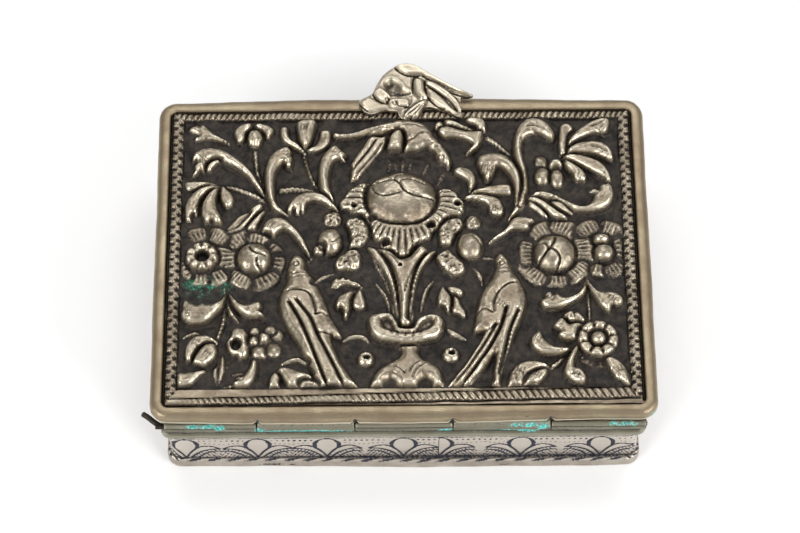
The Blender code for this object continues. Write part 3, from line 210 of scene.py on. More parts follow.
# Places in the picture are in thousandths of the field, across from the left and up from the front.
# Leaves as closed outlines: height share, edge share of the field's width, corners
LEAF_SHAPES = [
    (0.42, 0.011, [(10, 962), (20, 972), (30, 976), (34, 970), (39, 979), (47, 973), (57, 956), (72, 940), (86, 927),
     (103, 912), (85, 915), (65, 920), (50, 922), (38, 919), (26, 921), (26, 929), (34, 935), (30, 941), (20, 950)]),
    (0.62, 0.015, [(20, 838), (20, 857), (30, 874), (45, 883), (62, 885), (80, 881), (100, 869), (120, 849),
     (140, 822), (157, 789), (172, 752), (192, 700), (178, 718), (160, 746), (147, 770), (129, 795), (111, 815),
     (95, 829), (85, 838), (74, 843), (63, 840), (55, 830), (50, 810), (45, 798), (38, 802), (32, 788), (21, 781),
     (26, 800), (24, 815), (30, 830), (26, 840)]),
    (0.5, 0.009, [(53, 803), (61, 799), (68, 814), (76, 828), (83, 838), (73, 840), (62, 833), (54, 820)]),
    (0.62, 0.015, [(249, 828), (251, 843), (246, 858), (246, 875), (237, 888), (225, 885), (210, 873), (197, 851),
     (189, 820), (186, 780), (188, 735), (194, 690), (204, 656), (220, 640), (244, 628), (229, 647), (219, 662),
     (211, 690), (209, 730), (210, 770), (216, 803), (225, 824), (232, 826), (235, 813), (243, 808), (248, 817)]),
    (0.36, 0.008, [(5, 757), (30, 761), (60, 759), (88, 750), (60, 741), (40, 736), (22, 729), (11, 731), (6, 743)]),
    (0.5, 0.012, [(90, 747), (60, 744), (35, 730), (18, 706), (7, 675), (5, 645), (9, 615), (18, 611), (19, 630),
     (24, 642), (30, 631), (34, 640), (35, 665), (40, 690), (52, 710), (70, 730)]),
    (0.6, 0.014, [(87, 742), (68, 725), (54, 702), (45, 672), (43, 640), (48, 612), (55, 600), (62, 603), (65, 614),
     (70, 607), (75, 597), (86, 596), (91, 605), (88, 627), (81, 647), (77, 672), (77, 700), (83, 722)]),
    (0.46, 0.01, [(89, 742), (100, 728), (112, 708), (117, 685), (111, 667), (101, 658), (94, 668), (87, 690),
     (85, 715)]),
    (0.44, 0.008, [(178, 673), (165, 667), (145, 641), (125, 606), (104, 571), (125, 577), (141, 595), (156, 619),
     (171, 644), (182, 661)]),
    (0.4, 0.008, [(188, 652), (172, 630), (157, 605), (149, 585), (164, 581), (172, 600), (180, 622)]),
    (0.26, 0.008, [(152, 643), (130, 628), (113, 603), (102, 580), (116, 583), (132, 604)]),
    (0.66, 0.016, [(182, 573), (188, 598), (202, 615), (220, 616), (240, 603), (256, 583), (271, 555), (281, 522),
     (289, 482), (275, 503), (262, 528), (250, 552), (238, 566), (226, 567), (215, 556), (208, 547), (200, 560),
     (190, 567)]),
    (0.6, 0.013, [(261, 987), (261, 950), (265, 910), (271, 880), (278, 867), (285, 885), (292, 910), (299, 945),
     (302, 987)]),
    (0.42, 0.009, [(223, 967), (221, 940), (229, 913), (244, 896), (262, 882), (274, 876), (262, 902), (247, 920),
     (239, 940), (237, 967)]),
    (0.42, 0.009, [(315, 952), (312, 930), (306, 907), (297, 892), (283, 880), (300, 872), (319, 881), (332, 900),
     (336, 930), (335, 952)]),
    (0.62, 0.014, [(345, 892), (355, 884), (363, 870), (374, 858), (367, 845), (371, 836), (356, 838), (346, 830),
     (339, 808), (335, 775), (335, 740), (340, 705), (348, 670), (357, 636), (340, 653), (324, 688), (313, 730),
     (310, 780), (313, 826), (324, 863)]),
    (0.6, 0.014, [(238, 646), (242, 669), (254, 692), (272, 708), (292, 714), (311, 708), (329, 693), (344, 670),
     (363, 628), (340, 647), (325, 666), (310, 676), (296, 679), (285, 672), (279, 653), (274, 638), (269, 650),
     (264, 633), (258, 636), (254, 650), (246, 636)]),
    (0.4, 0.008, [(582, 953), (578, 970), (585, 987), (598, 989), (606, 976), (598, 964), (591, 953)]),
    (0.5, 0.01, [(601, 995), (604, 975), (614, 960), (635, 948), (655, 941), (682, 936), (666, 954), (640, 973),
     (620, 988)]),
    (0.5, 0.01, [(650, 992), (660, 1003), (680, 1003), (694, 987), (697, 965), (692, 937), (681, 949), (672, 968),
     (660, 979)]),
    (0.58, 0.012, [(587, 938), (588, 953), (602, 962), (620, 958), (640, 949), (660, 944), (687, 942), (688, 920),
     (684, 900), (677, 883), (663, 866), (650, 862), (659, 880), (664, 893), (656, 906), (643, 915), (620, 921),
     (599, 922)]),
    (0.55, 0.011, [(621, 784), (624, 801), (635, 808), (650, 804), (663, 790), (670, 765), (668, 740), (657, 710),
     (654, 730), (651, 748), (644, 762), (634, 772)]),
    (0.42, 0.01, [(654, 698), (664, 717), (685, 731), (710, 740), (735, 741), (750, 735), (752, 715), (746, 703),
     (720, 704), (695, 702), (675, 701)]),
    (0.58, 0.012, [(643, 690), (665, 700), (690, 700), (711, 691), (727, 672), (732, 645), (727, 622), (713, 619),
     (701, 633), (697, 653), (690, 666), (677, 674), (660, 680)]),
    (0.68, 0.018, [(674, 815), (676, 837), (689, 853), (710, 859), (731, 853), (752, 835), (767, 807), (777, 770),
     (782, 730), (784, 690), (780, 660), (766, 633), (743, 607), (752, 637), (759, 667), (760, 700), (757, 733),
     (749, 767), (739, 790), (728, 805), (718, 803), (713, 785), (705, 762), (697, 752), (690, 762), (687, 778),
     (681, 788), (679, 803)]),
    (0.68, 0.017, [(849, 910), (855, 930), (850, 954), (836, 975), (818, 988), (800, 991), (784, 981), (770, 957),
     (761, 920), (758, 880), (760, 840), (767, 810), (773, 790), (777, 760), (776, 720), (770, 680), (768, 655),
     (782, 678), (789, 720), (789, 760), (785, 810), (780, 850), (780, 885), (785, 907), (796, 923), (810, 930),
     (825, 925), (838, 914)]),
    (0.5, 0.011, [(876, 893), (887, 911), (904, 942), (924, 965), (950, 985), (968, 991), (982, 987), (982, 965),
     (977, 943), (968, 934), (955, 937), (935, 932), (915, 917), (895, 900)]),
    (0.55, 0.011, [(870, 858), (884, 877), (910, 895), (935, 901), (961, 898), (977, 882), (986, 860), (987, 833),
     (978, 829), (967, 839), (954, 851), (935, 858), (910, 858), (890, 855)]),
    (0.55, 0.01, [(872, 844), (890, 851), (915, 848), (941, 835), (962, 814), (975, 786), (980, 753), (972, 747),
     (964, 761), (949, 778), (929, 796), (909, 813), (890, 824), (873, 830)]),
    (0.6, 0.011, [(872, 829), (885, 823), (901, 808), (917, 787), (924, 765), (920, 747), (905, 745), (896, 756),
     (892, 775), (882, 795), (872, 813)]),
    (0.36, 0.008, [(866, 858), (864, 890), (866, 930), (870, 967), (885, 976), (898, 957), (887, 938), (882, 910),
     (880, 880), (878, 858)]),
    (0.6, 0.014, [(788, 690), (810, 710), (831, 709), (851, 698), (871, 681), (890, 664), (910, 654), (925, 659),
     (933, 672), (938, 686), (939, 700), (930, 709), (940, 717), (950, 712), (952, 728), (965, 736), (980, 733),
     (985, 710), (984, 685), (974, 657), (956, 641), (930, 633), (905, 633), (884, 641), (864, 656), (844, 676),
     (825, 686), (805, 687)]),
    (0.48, 0.009, [(791, 690), (810, 688), (831, 668), (851, 643), (877, 613), (860, 609), (844, 619), (824, 642),
     (807, 662), (793, 678)]),
    (0.36, 0.007, [(791, 676), (803, 667), (816, 651), (832, 620), (820, 623), (806, 643), (792, 660)]),
    (0.34, 0.007, [(841, 677), (860, 675), (874, 657), (888, 630), (870, 641), (853, 658)]),
    (0.55, 0.012, [(696, 520), (714, 547), (733, 567), (743, 587), (753, 607), (770, 616), (786, 613), (802, 603),
     (792, 588), (789, 572), (778, 565), (765, 567), (750, 565), (736, 552), (715, 534)]),
    (0.58, 0.013, [(911, 376), (905, 351), (891, 330), (870, 316), (857, 316), (848, 328), (838, 321), (833, 335),
     (820, 327), (819, 313), (810, 305), (810, 290), (821, 275), (840, 273), (861, 279), (881, 293), (902, 317),
     (914, 350)]),
    (0.6, 0.014, [(914, 388), (926, 362), (936, 343), (950, 333), (966, 333), (981, 328), (992, 312), (992, 290),
     (982, 280), (971, 285), (962, 262), (949, 272), (938, 293), (930, 318), (921, 348)]),
    (0.44, 0.01, [(860, 250), (866, 260), (878, 265), (885, 257), (892, 261), (902, 246), (907, 231), (898, 219),
     (885, 222), (869, 233)]),
    (0.5, 0.012, [(836, 210), (843, 227), (855, 241), (866, 226), (871, 216), (886, 222), (902, 216), (893, 200),
     (892, 173), (880, 163), (859, 164), (846, 178), (850, 195)]),
    (0.6, 0.013, [(802, 203), (798, 187), (786, 171), (784, 145), (794, 122), (815, 109), (841, 108), (867, 117),
     (890, 140), (868, 133), (846, 134), (828, 143), (815, 162), (808, 187)]),
    (0.58, 0.012, [(890, 145), (877, 126), (868, 100), (860, 70), (855, 45), (863, 23), (880, 7), (896, 1), (905, 20),
     (900, 42), (890, 58), (880, 60), (880, 82), (886, 110)]),
    (0.42, 0.01, [(950, 103), (965, 101), (982, 82), (994, 50), (998, -2), (984, 12), (968, 28), (958, 55),
     (951, 80)]),
    (0.42, 0.01, [(733, -12), (733, 20), (741, 52), (758, 78), (780, 88), (801, 86), (823, 72), (806, 62), (789, 56),
     (774, 42), (766, 20), (762, -12)]),
    (0.56, 0.013, [(766, -4), (773, 20), (784, 40), (800, 53), (816, 58), (820, 45), (814, 28), (801, 7), (785, -8)]),
    (0.6, 0.015, [(102, 340), (92, 313), (75, 299), (60, 295), (50, 302), (40, 294), (25, 304), (11, 314), (6, 295),
     (8, 280), (3, 265), (10, 243), (25, 228), (45, 228), (63, 236), (79, 258), (97, 293)]),
    (0.58, 0.013, [(110, 340), (125, 314), (140, 296), (155, 294), (165, 301), (180, 303), (184, 286), (180, 272),
     (190, 257), (178, 249), (165, 248), (149, 254), (133, 272), (120, 298)]),
    (0.46, 0.01, [(18, 98), (15, 125), (20, 157), (34, 181), (52, 188), (71, 181), (87, 160), (70, 161), (52, 156),
     (40, 137), (33, 113), (30, 96)]),
    (0.54, 0.014, [(33, 88), (41, 120), (54, 147), (70, 157), (82, 152), (86, 130), (82, 106), (69, 87), (58, 75),
     (44, 80)]),
    (0.42, 0.012, [(-2, 52), (15, 55), (35, 57), (62, 63), (51, 43), (36, 17), (20, 7), (0, 9), (-5, 30)]),
    (0.52, 0.012, [(168, 106), (176, 85), (176, 60), (170, 28), (156, 2), (140, -8), (127, 3), (123, 15), (134, 23),
     (129, 36), (144, 37), (151, 52), (159, 72), (164, 92)]),
    (0.4, 0.01, [(220, 60), (208, 42), (203, 20), (203, -6), (213, -20), (237, -22), (228, 0), (224, 20), (227, 40)]),
    (0.52, 0.012, [(221, 62), (235, 69), (250, 65), (270, 55), (291, 44), (296, 30), (280, 21), (271, 20), (265, 0),
     (262, -18), (247, -3), (239, 18), (231, 40)]),
    (0.42, 0.011, [(274, 21), (290, 24), (307, 16), (312, 0), (301, -20), (279, -20), (271, 0)]),
    (0.3, 0.008, [(341, 360), (343, 381), (351, 394), (359, 390), (366, 400), (373, 391), (380, 396), (386, 385),
     (396, 381), (412, 362), (395, 367), (375, 373), (360, 369), (352, 359)]),
    (0.54, 0.012, [(410, 364), (390, 348), (370, 338), (355, 322), (350, 300), (353, 283), (362, 286), (366, 273),
     (370, 247), (379, 262), (382, 290), (385, 315), (394, 338)]),
    (0.42, 0.01, [(405, 355), (395, 337), (388, 310), (390, 288), (403, 279), (414, 283), (416, 305), (411, 332)]),
    (0.5, 0.012, [(592, 366), (583, 342), (578, 315), (580, 293), (592, 288), (600, 267), (610, 284), (612, 310),
     (604, 337)]),
    (0.36, 0.009, [(600, 360), (615, 361), (632, 352), (637, 338), (629, 325), (614, 329), (604, 344)]),
    (0.4, 0.01, [(615, 327), (627, 311), (632, 290), (640, 270), (638, 249), (625, 259), (611, 268), (613, 295)]),
    (0.5, 0.013, [(422, 505), (432, 502), (445, 492), (458, 465), (470, 432), (480, 390), (486, 340), (489, 280),
     (488, 240), (482, 290), (474, 350), (462, 398), (447, 440), (432, 475)]),
    (0.5, 0.01, [(577, 492), (565, 486), (553, 472), (540, 445), (530, 410), (522, 360), (517, 300), (515, 240),
     (520, 290), (528, 350), (538, 400), (551, 440), (566, 470)]),
]

# Small veins and scrolls raised as lines: height share, then places with half widths
SCROLLS = [
    (0.26, [(98, 120, 3), (98, 70, 8), (90, 18, 2)]),
    (0.3, [(103, 8, 3), (122, 10, 6)]),
    (0.26, [(8, 185, 3), (35, 197, 6), (55, 185, 3)]),
    (0.35, [(105, 310, 2), (115, 270, 6), (135, 236, 2)]),
    (0.42, [(122, 48, 3), (140, 46, 6), (156, 50, 4)]),
    (0.26, [(365, 165, 3), (385, 180, 7), (410, 180, 7), (425, 162, 3)]),
    (0.26, [(600, 205, 5), (615, 190, 8), (640, 172, 4)]),
    (0.24, [(232, 85, 5), (262, 100, 7), (285, 85, 5)]),
    (0.22, [(300, 370, 3), (320, 400, 6), (345, 415, 3)]),
    (0.2, [(660, 430, 3), (675, 400, 6), (680, 370, 3)]),
    (0.2, [(280, 520, 3), (290, 490, 7), (295, 460, 3)]),
    (0.2, [(440, 380, 3), (462, 330, 6), (470, 270, 3)]),
    (0.2, [(570, 390, 3), (550, 340, 6), (540, 270, 3)]),
    (0.1, [(470, 800, 4), (475, 825, 7), (470, 850, 3)]),
    (0.1, [(488, 785, 4), (487, 820, 6), (482, 840, 2)]),
    (0.1, [(502, 785, 5), (503, 830, 6), (503, 850, 2)]),
    (0.1, [(517, 785, 4), (520, 820, 6), (526, 840, 2)]),
    (0.1, [(545, 770, 4), (555, 800, 7), (565, 830, 3)]),
    (0.1, [(580, 740, 4), (590, 770, 8), (600, 800, 3)]),
]

# Stems with a twist chased across them, in the same form
STEMS = [
    (0.3, [(163, 880, 6), (168, 800, 5), (176, 760, 5), (186, 690, 4)]),
    (0.3, [(275, 870, 5), (285, 810, 4), (297, 760, 4), (315, 715, 4)]),
    (0.32, [(85, 745, 6), (130, 730, 6), (182, 695, 6), (195, 668, 3)]),
    (0.32, [(224, 727, 8), (260, 731, 8), (290, 725, 7), (318, 710, 4)]),
    (0.34, [(688, 934, 7), (715, 908, 6), (742, 870, 5), (770, 828, 4)]),
    (0.3, [(98, 370, 3), (100, 300, 5), (98, 240, 5), (84, 170, 4)]),
    (0.3, [(915, 365, 4), (917, 300, 4), (918, 235, 3)]),
    (0.34, [(818, 62, 6), (840, 80, 6), (857, 100, 4)]),
    (0.3, [(276, 452, 5), (292, 466, 4), (310, 488, 4)]),
    (0.3, [(712, 457, 4), (700, 463, 4), (682, 466, 4)]),
]

# The flower collar round the big bud, whose rim is cut with rays
COLLAR = [(430, 750), (409, 746), (389, 731), (377, 716), (370, 697), (359, 675), (361, 659), (375, 652), (386, 640),
    (405, 636), (418, 621), (427, 598), (432, 568), (436, 542), (448, 532), (457, 534), (452, 519), (456, 504),
    (468, 496), (477, 492), (486, 477), (497, 466), (511, 473), (520, 496), (531, 518), (547, 529), (563, 540),
    (568, 562), (577, 570), (586, 581), (593, 604), (603, 619), (616, 626), (630, 626), (639, 637), (642, 660),
    (638, 679), (629, 694), (624, 710), (611, 719), (595, 723), (579, 718), (565, 752), (531, 776), (497, 788),
    (462, 773)]

# Closed shapes raised as cushions: height share, edge share of the field's width, corners
CUSHIONS = [
    (0.55, 0.014, [(120, 203), (131, 212), (144, 210), (153, 196), (155, 178), (159, 153), (159, 128), (151, 107),
     (139, 101), (130, 112), (120, 117), (111, 134), (108, 160), (115, 178)]),
    (0.26, 0.01, [(89, 111), (101, 93), (110, 80), (103, 49), (91, 12), (82, 37), (79, 62), (87, 80)]),
    (0.45, 0.01, [(153, 982), (130, 977), (115, 955), (118, 930), (125, 910), (137, 925), (141, 950), (153, 962)]),
    (0.45, 0.01, [(164, 982), (190, 977), (204, 958), (199, 938), (191, 925), (184, 945), (164, 962)]),
    (0.5, 0.012, COLLAR),
    (0.5, 0.012, [(373, 599), (382, 612), (400, 615), (414, 602), (423, 576), (424, 549), (418, 527), (402, 506),
     (382, 508), (384, 531), (382, 553), (379, 576)]),
    (0.5, 0.012, [(348, 449), (357, 468), (368, 479), (375, 492), (386, 495), (400, 490), (407, 463), (402, 437),
     (384, 423), (366, 423), (352, 431)]),
    (0.5, 0.012, [(586, 574), (596, 594), (609, 609), (630, 611), (639, 596), (634, 573), (622, 558), (615, 532),
     (606, 513), (588, 517), (585, 543)]),
    (0.5, 0.012, [(578, 469), (590, 485), (604, 491), (612, 483), (624, 465), (641, 431), (639, 412), (623, 401),
     (605, 409), (589, 431), (582, 450)]),
    (0.62, 0.016, [(429, 503), (431, 470), (440, 440), (456, 399), (467, 351), (474, 296), (480, 248), (489, 222),
     (500, 211), (516, 215), (522, 240), (523, 288), (528, 343), (535, 390), (549, 431), (565, 468), (576, 486),
     (558, 494), (540, 506), (517, 469), (495, 458), (477, 484), (461, 495), (443, 503)]),
    (0.62, 0.02, [(484, 154), (495, 125), (490, 100), (470, 82), (448, 61), (435, 36), (428, 4), (428, -38),
     (450, -39), (452, -3), (459, 14), (472, 25), (483, 11), (494, -14), (501, -43), (518, -43), (525, -11),
     (534, 13), (547, 28), (561, 17), (567, -5), (564, -44), (582, -44), (587, -5), (587, 27), (579, 59), (561, 81),
     (544, 92), (533, 117), (533, 153)]),
    (0.72, 0.014, [(422, 225), (426, 243), (440, 254), (460, 257), (476, 250), (487, 224), (493, 202), (522, 202),
     (531, 231), (545, 245), (565, 252), (583, 245), (592, 223), (589, 190), (578, 169), (555, 156), (533, 148),
     (511, 144), (488, 148), (466, 154), (444, 163), (429, 185)]),
    (0.5, 0.012, [(430, 928), (409, 881), (393, 847), (384, 820), (388, 812), (384, 789), (386, 758), (400, 770),
     (416, 800), (430, 831), (444, 862), (458, 885), (470, 916), (477, 943), (451, 943)]),
    (0.72, 0.022, [(345, 941), (345, 930), (367, 922), (398, 928), (424, 934), (451, 932), (479, 943), (502, 935),
     (507, 904), (506, 873), (529, 867), (546, 875), (559, 880), (569, 872), (578, 857), (582, 833), (589, 822),
     (600, 812), (608, 802), (614, 822), (612, 845), (603, 872), (590, 899), (578, 919), (569, 942), (560, 962),
     (544, 978), (516, 990), (486, 988), (456, 975), (428, 960), (400, 945), (367, 935)]),
    (0.84, 0.014, [(472, 901), (474, 920), (484, 939), (495, 945), (502, 935), (504, 904), (499, 873), (488, 866),
     (474, 868), (469, 881)]),
    (0.66, 0.022, [(262, 476), (249, 462), (242, 420), (240, 380), (227, 335), (222, 300), (226, 260), (240, 215),
     (265, 150), (295, 60), (315, -5), (355, -12), (400, -12), (380, 40), (360, 90), (345, 140), (340, 175),
     (362, 178), (347, 222), (334, 262), (326, 305), (314, 345), (300, 385), (284, 420), (278, 458)]),
    (0.66, 0.022, [(722, 478), (711, 462), (711, 430), (700, 385), (684, 350), (672, 310), (667, 270), (662, 230),
     (660, 195), (682, 192), (665, 140), (636, 70), (597, -10), (635, -12), (680, 60), (705, 110), (698, 0),
     (710, -10), (722, 80), (745, 170), (765, 235), (776, 285), (775, 330), (765, 370), (750, 410), (738, 458)]),
]

# Closed shapes sunk into the raised work: floor as a height share, edge share, corners
PITS = [
    (0.34, 0.012, [(444, 234), (460, 246), (476, 241), (484, 215), (493, 193), (520, 193), (533, 222), (547, 238),
     (565, 242), (576, 232), (571, 203), (553, 185), (526, 171), (493, 172), (466, 183), (449, 201)]),
]

# Domes: across, up, half width, half length, height share
DOMES = [(162, 925, 0.0165, 0.023, 0.6), (165, 468, 0.0375, 0.0375, 0.86), (845, 478, 0.045, 0.045, 0.9),
    (957, 482, 0.021, 0.021, 0.65), (952, 533, 0.018, 0.013, 0.55), (336, 528, 0.027, 0.032, 0.75),
    (310, 500, 0.012, 0.013, 0.42), (655, 507, 0.029, 0.034, 0.75), (661, 600, 0.0165, 0.0165, 0.38),
    (342, 618, 0.019, 0.019, 0.38), (854, 812, 0.0155, 0.0155, 0.62), (822, 829, 0.014, 0.018, 0.24),
    (823, 774, 0.018, 0.022, 0.44), (857, 765, 0.0145, 0.024, 0.4), (417, 98, 0.018, 0.018, 0.5),
    (606, 112, 0.018, 0.018, 0.5), (935, 168, 0.0165, 0.0165, 0.6), (192, 174, 0.0165, 0.0165, 0.58),
    (168, 202, 0.011, 0.011, 0.34), (166, 164, 0.01, 0.013, 0.4), (181, 125, 0.018, 0.015, 0.45),
    (212, 134, 0.015, 0.018, 0.4), (219, 190, 0.013, 0.014, 0.24), (203, 208, 0.012, 0.01, 0.25),
    (499, 690, 0.08, 0.067, 0.95)]

# Petals: across, up, half reach and half spread in millimetres, turn in degrees, height share, ribs
PETALS = [(100, 482, 2.0, 2.6, 180, 0.32, 8), (128, 545, 1.6, 1.7, 125, 0.3, 6), (180, 540, 1.3, 2.0, 70, 0.3, 7),
    (213, 500, 1.2, 1.7, 35, 0.2, 5), (218, 450, 1.2, 1.8, -15, 0.2, 5), (190, 390, 1.5, 2.2, -60, 0.24, 6),
    (131, 396, 1.4, 1.9, -125, 0.3, 7), (83, 405, 1.4, 1.6, -60, 0.28, 5), (40, 402, 1.4, 1.5, -98, 0.3, 5),
    (9, 432, 0.9, 1.6, -155, 0.26, 4), (81, 558, 1.5, 1.6, 60, 0.3, 7), (36, 565, 1.4, 1.5, 110, 0.2, 5),
    (818, 566, 1.6, 2.0, 120, 0.32, 7), (873, 574, 1.9, 2.3, 60, 0.34, 8), (912, 500, 1.8, 2.6, 4, 0.34, 9),
    (893, 410, 1.6, 2.3, -48, 0.34, 8), (842, 384, 1.4, 2.0, -92, 0.24, 7), (793, 410, 1.6, 2.3, -132, 0.26, 8),
    (782, 487, 1.3, 2.2, 180, 0.22, 7), (976, 572, 1.5, 2.0, 62, 0.3, 7), (922, 578, 1.5, 1.8, 118, 0.2, 6),
    (943, 420, 1.2, 1.2, -100, 0.34, 3), (983, 430, 1.5, 1.8, -60, 0.18, 6), (992, 505, 1.0, 1.8, 5, 0.18, 5),
    (972, 165, 1.0, 1.6, 0, 0.14, 5), (930, 85, 1.2, 1.8, -92, 0.14, 5), (905, 100, 1.0, 1.6, -130, 0.12, 4)]

# Wheels: across, up, inner and outer reach in millimetres, height share, spokes
WHEELS = [(47, 474, 0.85, 3.05, 0.62, 9, 0.6), (935, 165, 1.5, 3.75, 0.5, 8, 1.5)]

# Rays: across, up, inner and outer reach in millimetres, lines in a full turn, depth
RAYS = [(502, 690, 6.7, 12.5, 46, 0.42)]

# Chased lines on the raised work: half width and depth in millimetres, then the places
CHASED = [
    (0.3, 1.1, [(245, 305), (270, 240), (297, 140), (335, -10)]),
    (0.3, 1.1, [(262, 312), (293, 248), (310, 185), (335, 110), (372, -10)]),
    (0.2, 0.5, [(240, 345), (265, 350), (290, 335), (302, 290), (306, 262)]),
    (0.2, 0.5, [(304, 257), (318, 262), (332, 258)]),
    (0.2, 0.5, [(308, 197), (325, 190), (342, 188)]),
    (0.2, 0.6, [(340, 185), (352, 140), (372, 80), (395, 20)]),
    (0.13, 0.3, [(242, 418), (256, 408), (278, 412)]),
    (0.12, 0.25, [(242, 405), (256, 396), (278, 400)]),
    (0.3, 1.1, [(758, 270), (738, 200), (725, 120), (712, 50)]),
    (0.3, 1.1, [(732, 280), (715, 200), (680, 110), (622, -10)]),
    (0.3, 0.9, [(708, 220), (685, 160), (640, 60), (600, -10)]),
    (0.2, 0.5, [(757, 372), (735, 362), (715, 335), (705, 300), (704, 268)]),
    (0.2, 0.45, [(668, 262), (682, 275), (700, 262)]),
    (0.2, 0.5, [(665, 195), (690, 200), (708, 220)]),
    (0.13, 0.3, [(713, 412), (727, 405), (742, 412)]),
    (0.12, 0.25, [(712, 425), (727, 420), (741, 428)]),
    (0.25, 0.8, [(805, 440), (820, 465), (832, 488), (843, 510), (846, 535)]),
    (0.22, 0.7, [(808, 515), (822, 510), (832, 488)]),
    (0.22, 0.7, [(838, 488), (850, 472), (856, 450), (848, 420)]),
    (0.22, 0.7, [(154, 507), (160, 490), (172, 478), (190, 474)]),
    (0.22, 0.7, [(172, 462), (172, 445), (182, 425)]),
    (0.18, 0.4, [(340, 520), (350, 528), (360, 545)]),
    (0.18, 0.4, [(324, 508), (325, 490), (322, 480)]),
    (0.18, 0.4, [(660, 540), (672, 525), (682, 505)]),
    (0.16, 0.4, [(447, 490), (468, 463), (485, 415), (494, 359), (498, 304)]),
    (0.16, 0.4, [(556, 485), (531, 444), (515, 392), (505, 341)]),
    (0.13, 0.3, [(461, 490), (479, 467), (490, 445)]),
    (0.14, 0.35, [(479, 73), (492, 62), (503, 46)]),
    (0.14, 0.35, [(475, 48), (490, 34), (499, 12), (501, -16)]),
    (0.14, 0.35, [(537, 90), (521, 72), (514, 48)]),
    (0.14, 0.35, [(552, 83), (530, 62), (521, 30)]),
    (0.18, 0.5, [(507, 945), (509, 916), (506, 889), (499, 869)]),
    (0.15, 0.35, [(507, 910), (525, 912), (541, 931), (565, 938)]),
    (0.14, 0.35, [(564, 888), (576, 901), (590, 901)]),
    (0.14, 0.35, [(569, 872), (580, 884), (596, 882)]),
    (0.13, 0.3, [(419, 940), (451, 955), (486, 963), (525, 968), (549, 958)]),
    (0.2, 0.6, [(442, 917), (421, 870), (400, 828), (389, 805)]),
    (0.2, 0.6, [(456, 905), (433, 855), (405, 801), (393, 770)]),
    (0.18, 0.5, [(470, 897), (472, 920), (481, 940), (493, 947)]),
    (0.22, 0.7, [(430, 745), (462, 748), (483, 748), (496, 731), (505, 708), (521, 692), (546, 684), (571, 684)]),
    (0.18, 0.5, [(432, 732), (441, 705), (459, 689), (482, 693), (496, 700)]),
    (0.18, 0.5, [(483, 750), (490, 769), (503, 777)]),
    (0.16, 0.45, [(496, 738), (506, 750), (524, 750), (551, 738)]),
    (0.12, 0.3, [(152, 900), (156, 915), (158, 925)]),
    (0.12, 0.3, [(166, 900), (168, 915), (172, 928)]),
    (0.12, 0.3, [(695, 780), (700, 800), (708, 815)]),
    (0.12, 0.3, [(703, 770), (706, 790), (712, 805)]),
    (0.14, 0.3, [(790, 945), (805, 945), (825, 930)]),
    (0.14, 0.3, [(790, 958), (810, 958), (830, 945)]),
    (0.12, 0.3, [(950, 955), (965, 945), (980, 940)]),
    (0.12, 0.3, [(940, 965), (955, 972), (970, 985)]),
    (0.12, 0.3, [(940, 885), (955, 880), (970, 865)]),
    (0.12, 0.3, [(860, 30), (880, 40), (895, 30)]),
    (0.12, 0.25, [(970, 58), (975, 40), (980, 20)]),
    (0.12, 0.25, [(225, 20), (235, 0), (240, -10)]),
    (0.12, 0.3, [(745, 50), (750, 20), (752, 0)]),
    (0.12, 0.3, [(755, 60), (765, 45), (770, 20)]),
    (0.12, 0.3, [(610, 978), (630, 965), (650, 955)]),
    (0.12, 0.3, [(665, 985), (672, 975), (680, 965)]),
]

# Pierced hollows: across, up, radius in millimetres
PIERCED = [(128, 144, 0.8), (48, 474, 1.2), (158, 966, 0.55), (391, 661, 0.45), (432, 615, 0.75), (463, 524, 0.8),
    (566, 589, 0.8), (628, 668, 0.6), (577, 566, 0.4), (418, 103, 0.55), (608, 118, 0.55), (128, 155, 0.95),
    (495, 430, 0.28)]

# Rings punched round the birds' eyes, in the same form
EYES = [(590, 842, 0.6), (260, 446, 0.5), (725, 446, 0.5)]

# Strokes cut side by side: across, up, turn in degrees, length in millimetres, strokes, spacing
HATCHES = [(723, 283, 57, 0.9, 4, 0.57), (832, 312, 47, 0.9, 3, 0.57), (973, 302, 61, 0.9, 4, 0.57),
    (871, 243, 97, 1.2, 4, 0.66), (854, 200, 168, 0.9, 3, 0.57), (797, 162, 61, 0.9, 4, 0.5),
    (756, 56, 66, 1.2, 4, 0.66), (976, 54, 115, 0.9, 3, 0.76), (881, 34, 52, 0.9, 3, 0.5), (795, 35, 61, 1.1, 4, 0.5),
    (17, 255, 168, 0.9, 4, 0.5), (168, 278, 22, 0.9, 4, 0.5), (38, 159, 64, 0.9, 3, 0.5), (137, 26, 43, 0.9, 3, 0.5),
    (63, 112, 49, 0.9, 3, 0.5), (40, 833, 100, 0.9, 4, 0.55), (236, 857, 50, 0.9, 4, 0.5),
    (351, 862, 49, 0.9, 3, 0.5), (31, 663, 65, 0.9, 3, 0.5), (257, 647, 82, 0.9, 3, 0.5), (196, 583, 64, 0.9, 3, 0.5),
    (275, 956, 90, 1, 3, 0.55), (697, 795, 80, 1.1, 5, 0.5), (786, 904, 62, 0.9, 4, 0.5), (967, 938, 43, 1, 4, 0.5),
    (970, 851, 33, 0.9, 3, 0.5), (965, 764, 33, 0.9, 3, 0.5), (716, 641, 80, 1, 4, 0.5), (955, 692, 48, 0.9, 3, 0.5),
    (911, 760, 62, 0.9, 3, 0.5), (453, 198, 146, 0.8, 1, 0.5), (473, 183, 112, 1.1, 1, 0.5),
    (487, 178, 98, 1.1, 1, 0.5), (505, 175, 89, 1.2, 1, 0.5), (523, 175, 82, 1.2, 1, 0.5), (539, 179, 71, 1, 1, 0.5),
    (554, 195, 38, 0.8, 1, 0.5)]

# Places matted with a round punch: across, up, half width and half length in millimetres
MATTED = [(400, 561, 2.1, 2.9), (377, 456, 2.3, 1.9), (611, 562, 2.2, 2.6), (610, 446, 2.3, 2.2),
    (342, 618, 1.7, 1.7), (661, 600, 1.5, 1.5), (312, 500, 1.3, 1.5), (683, 492, 0.8, 1.3)]

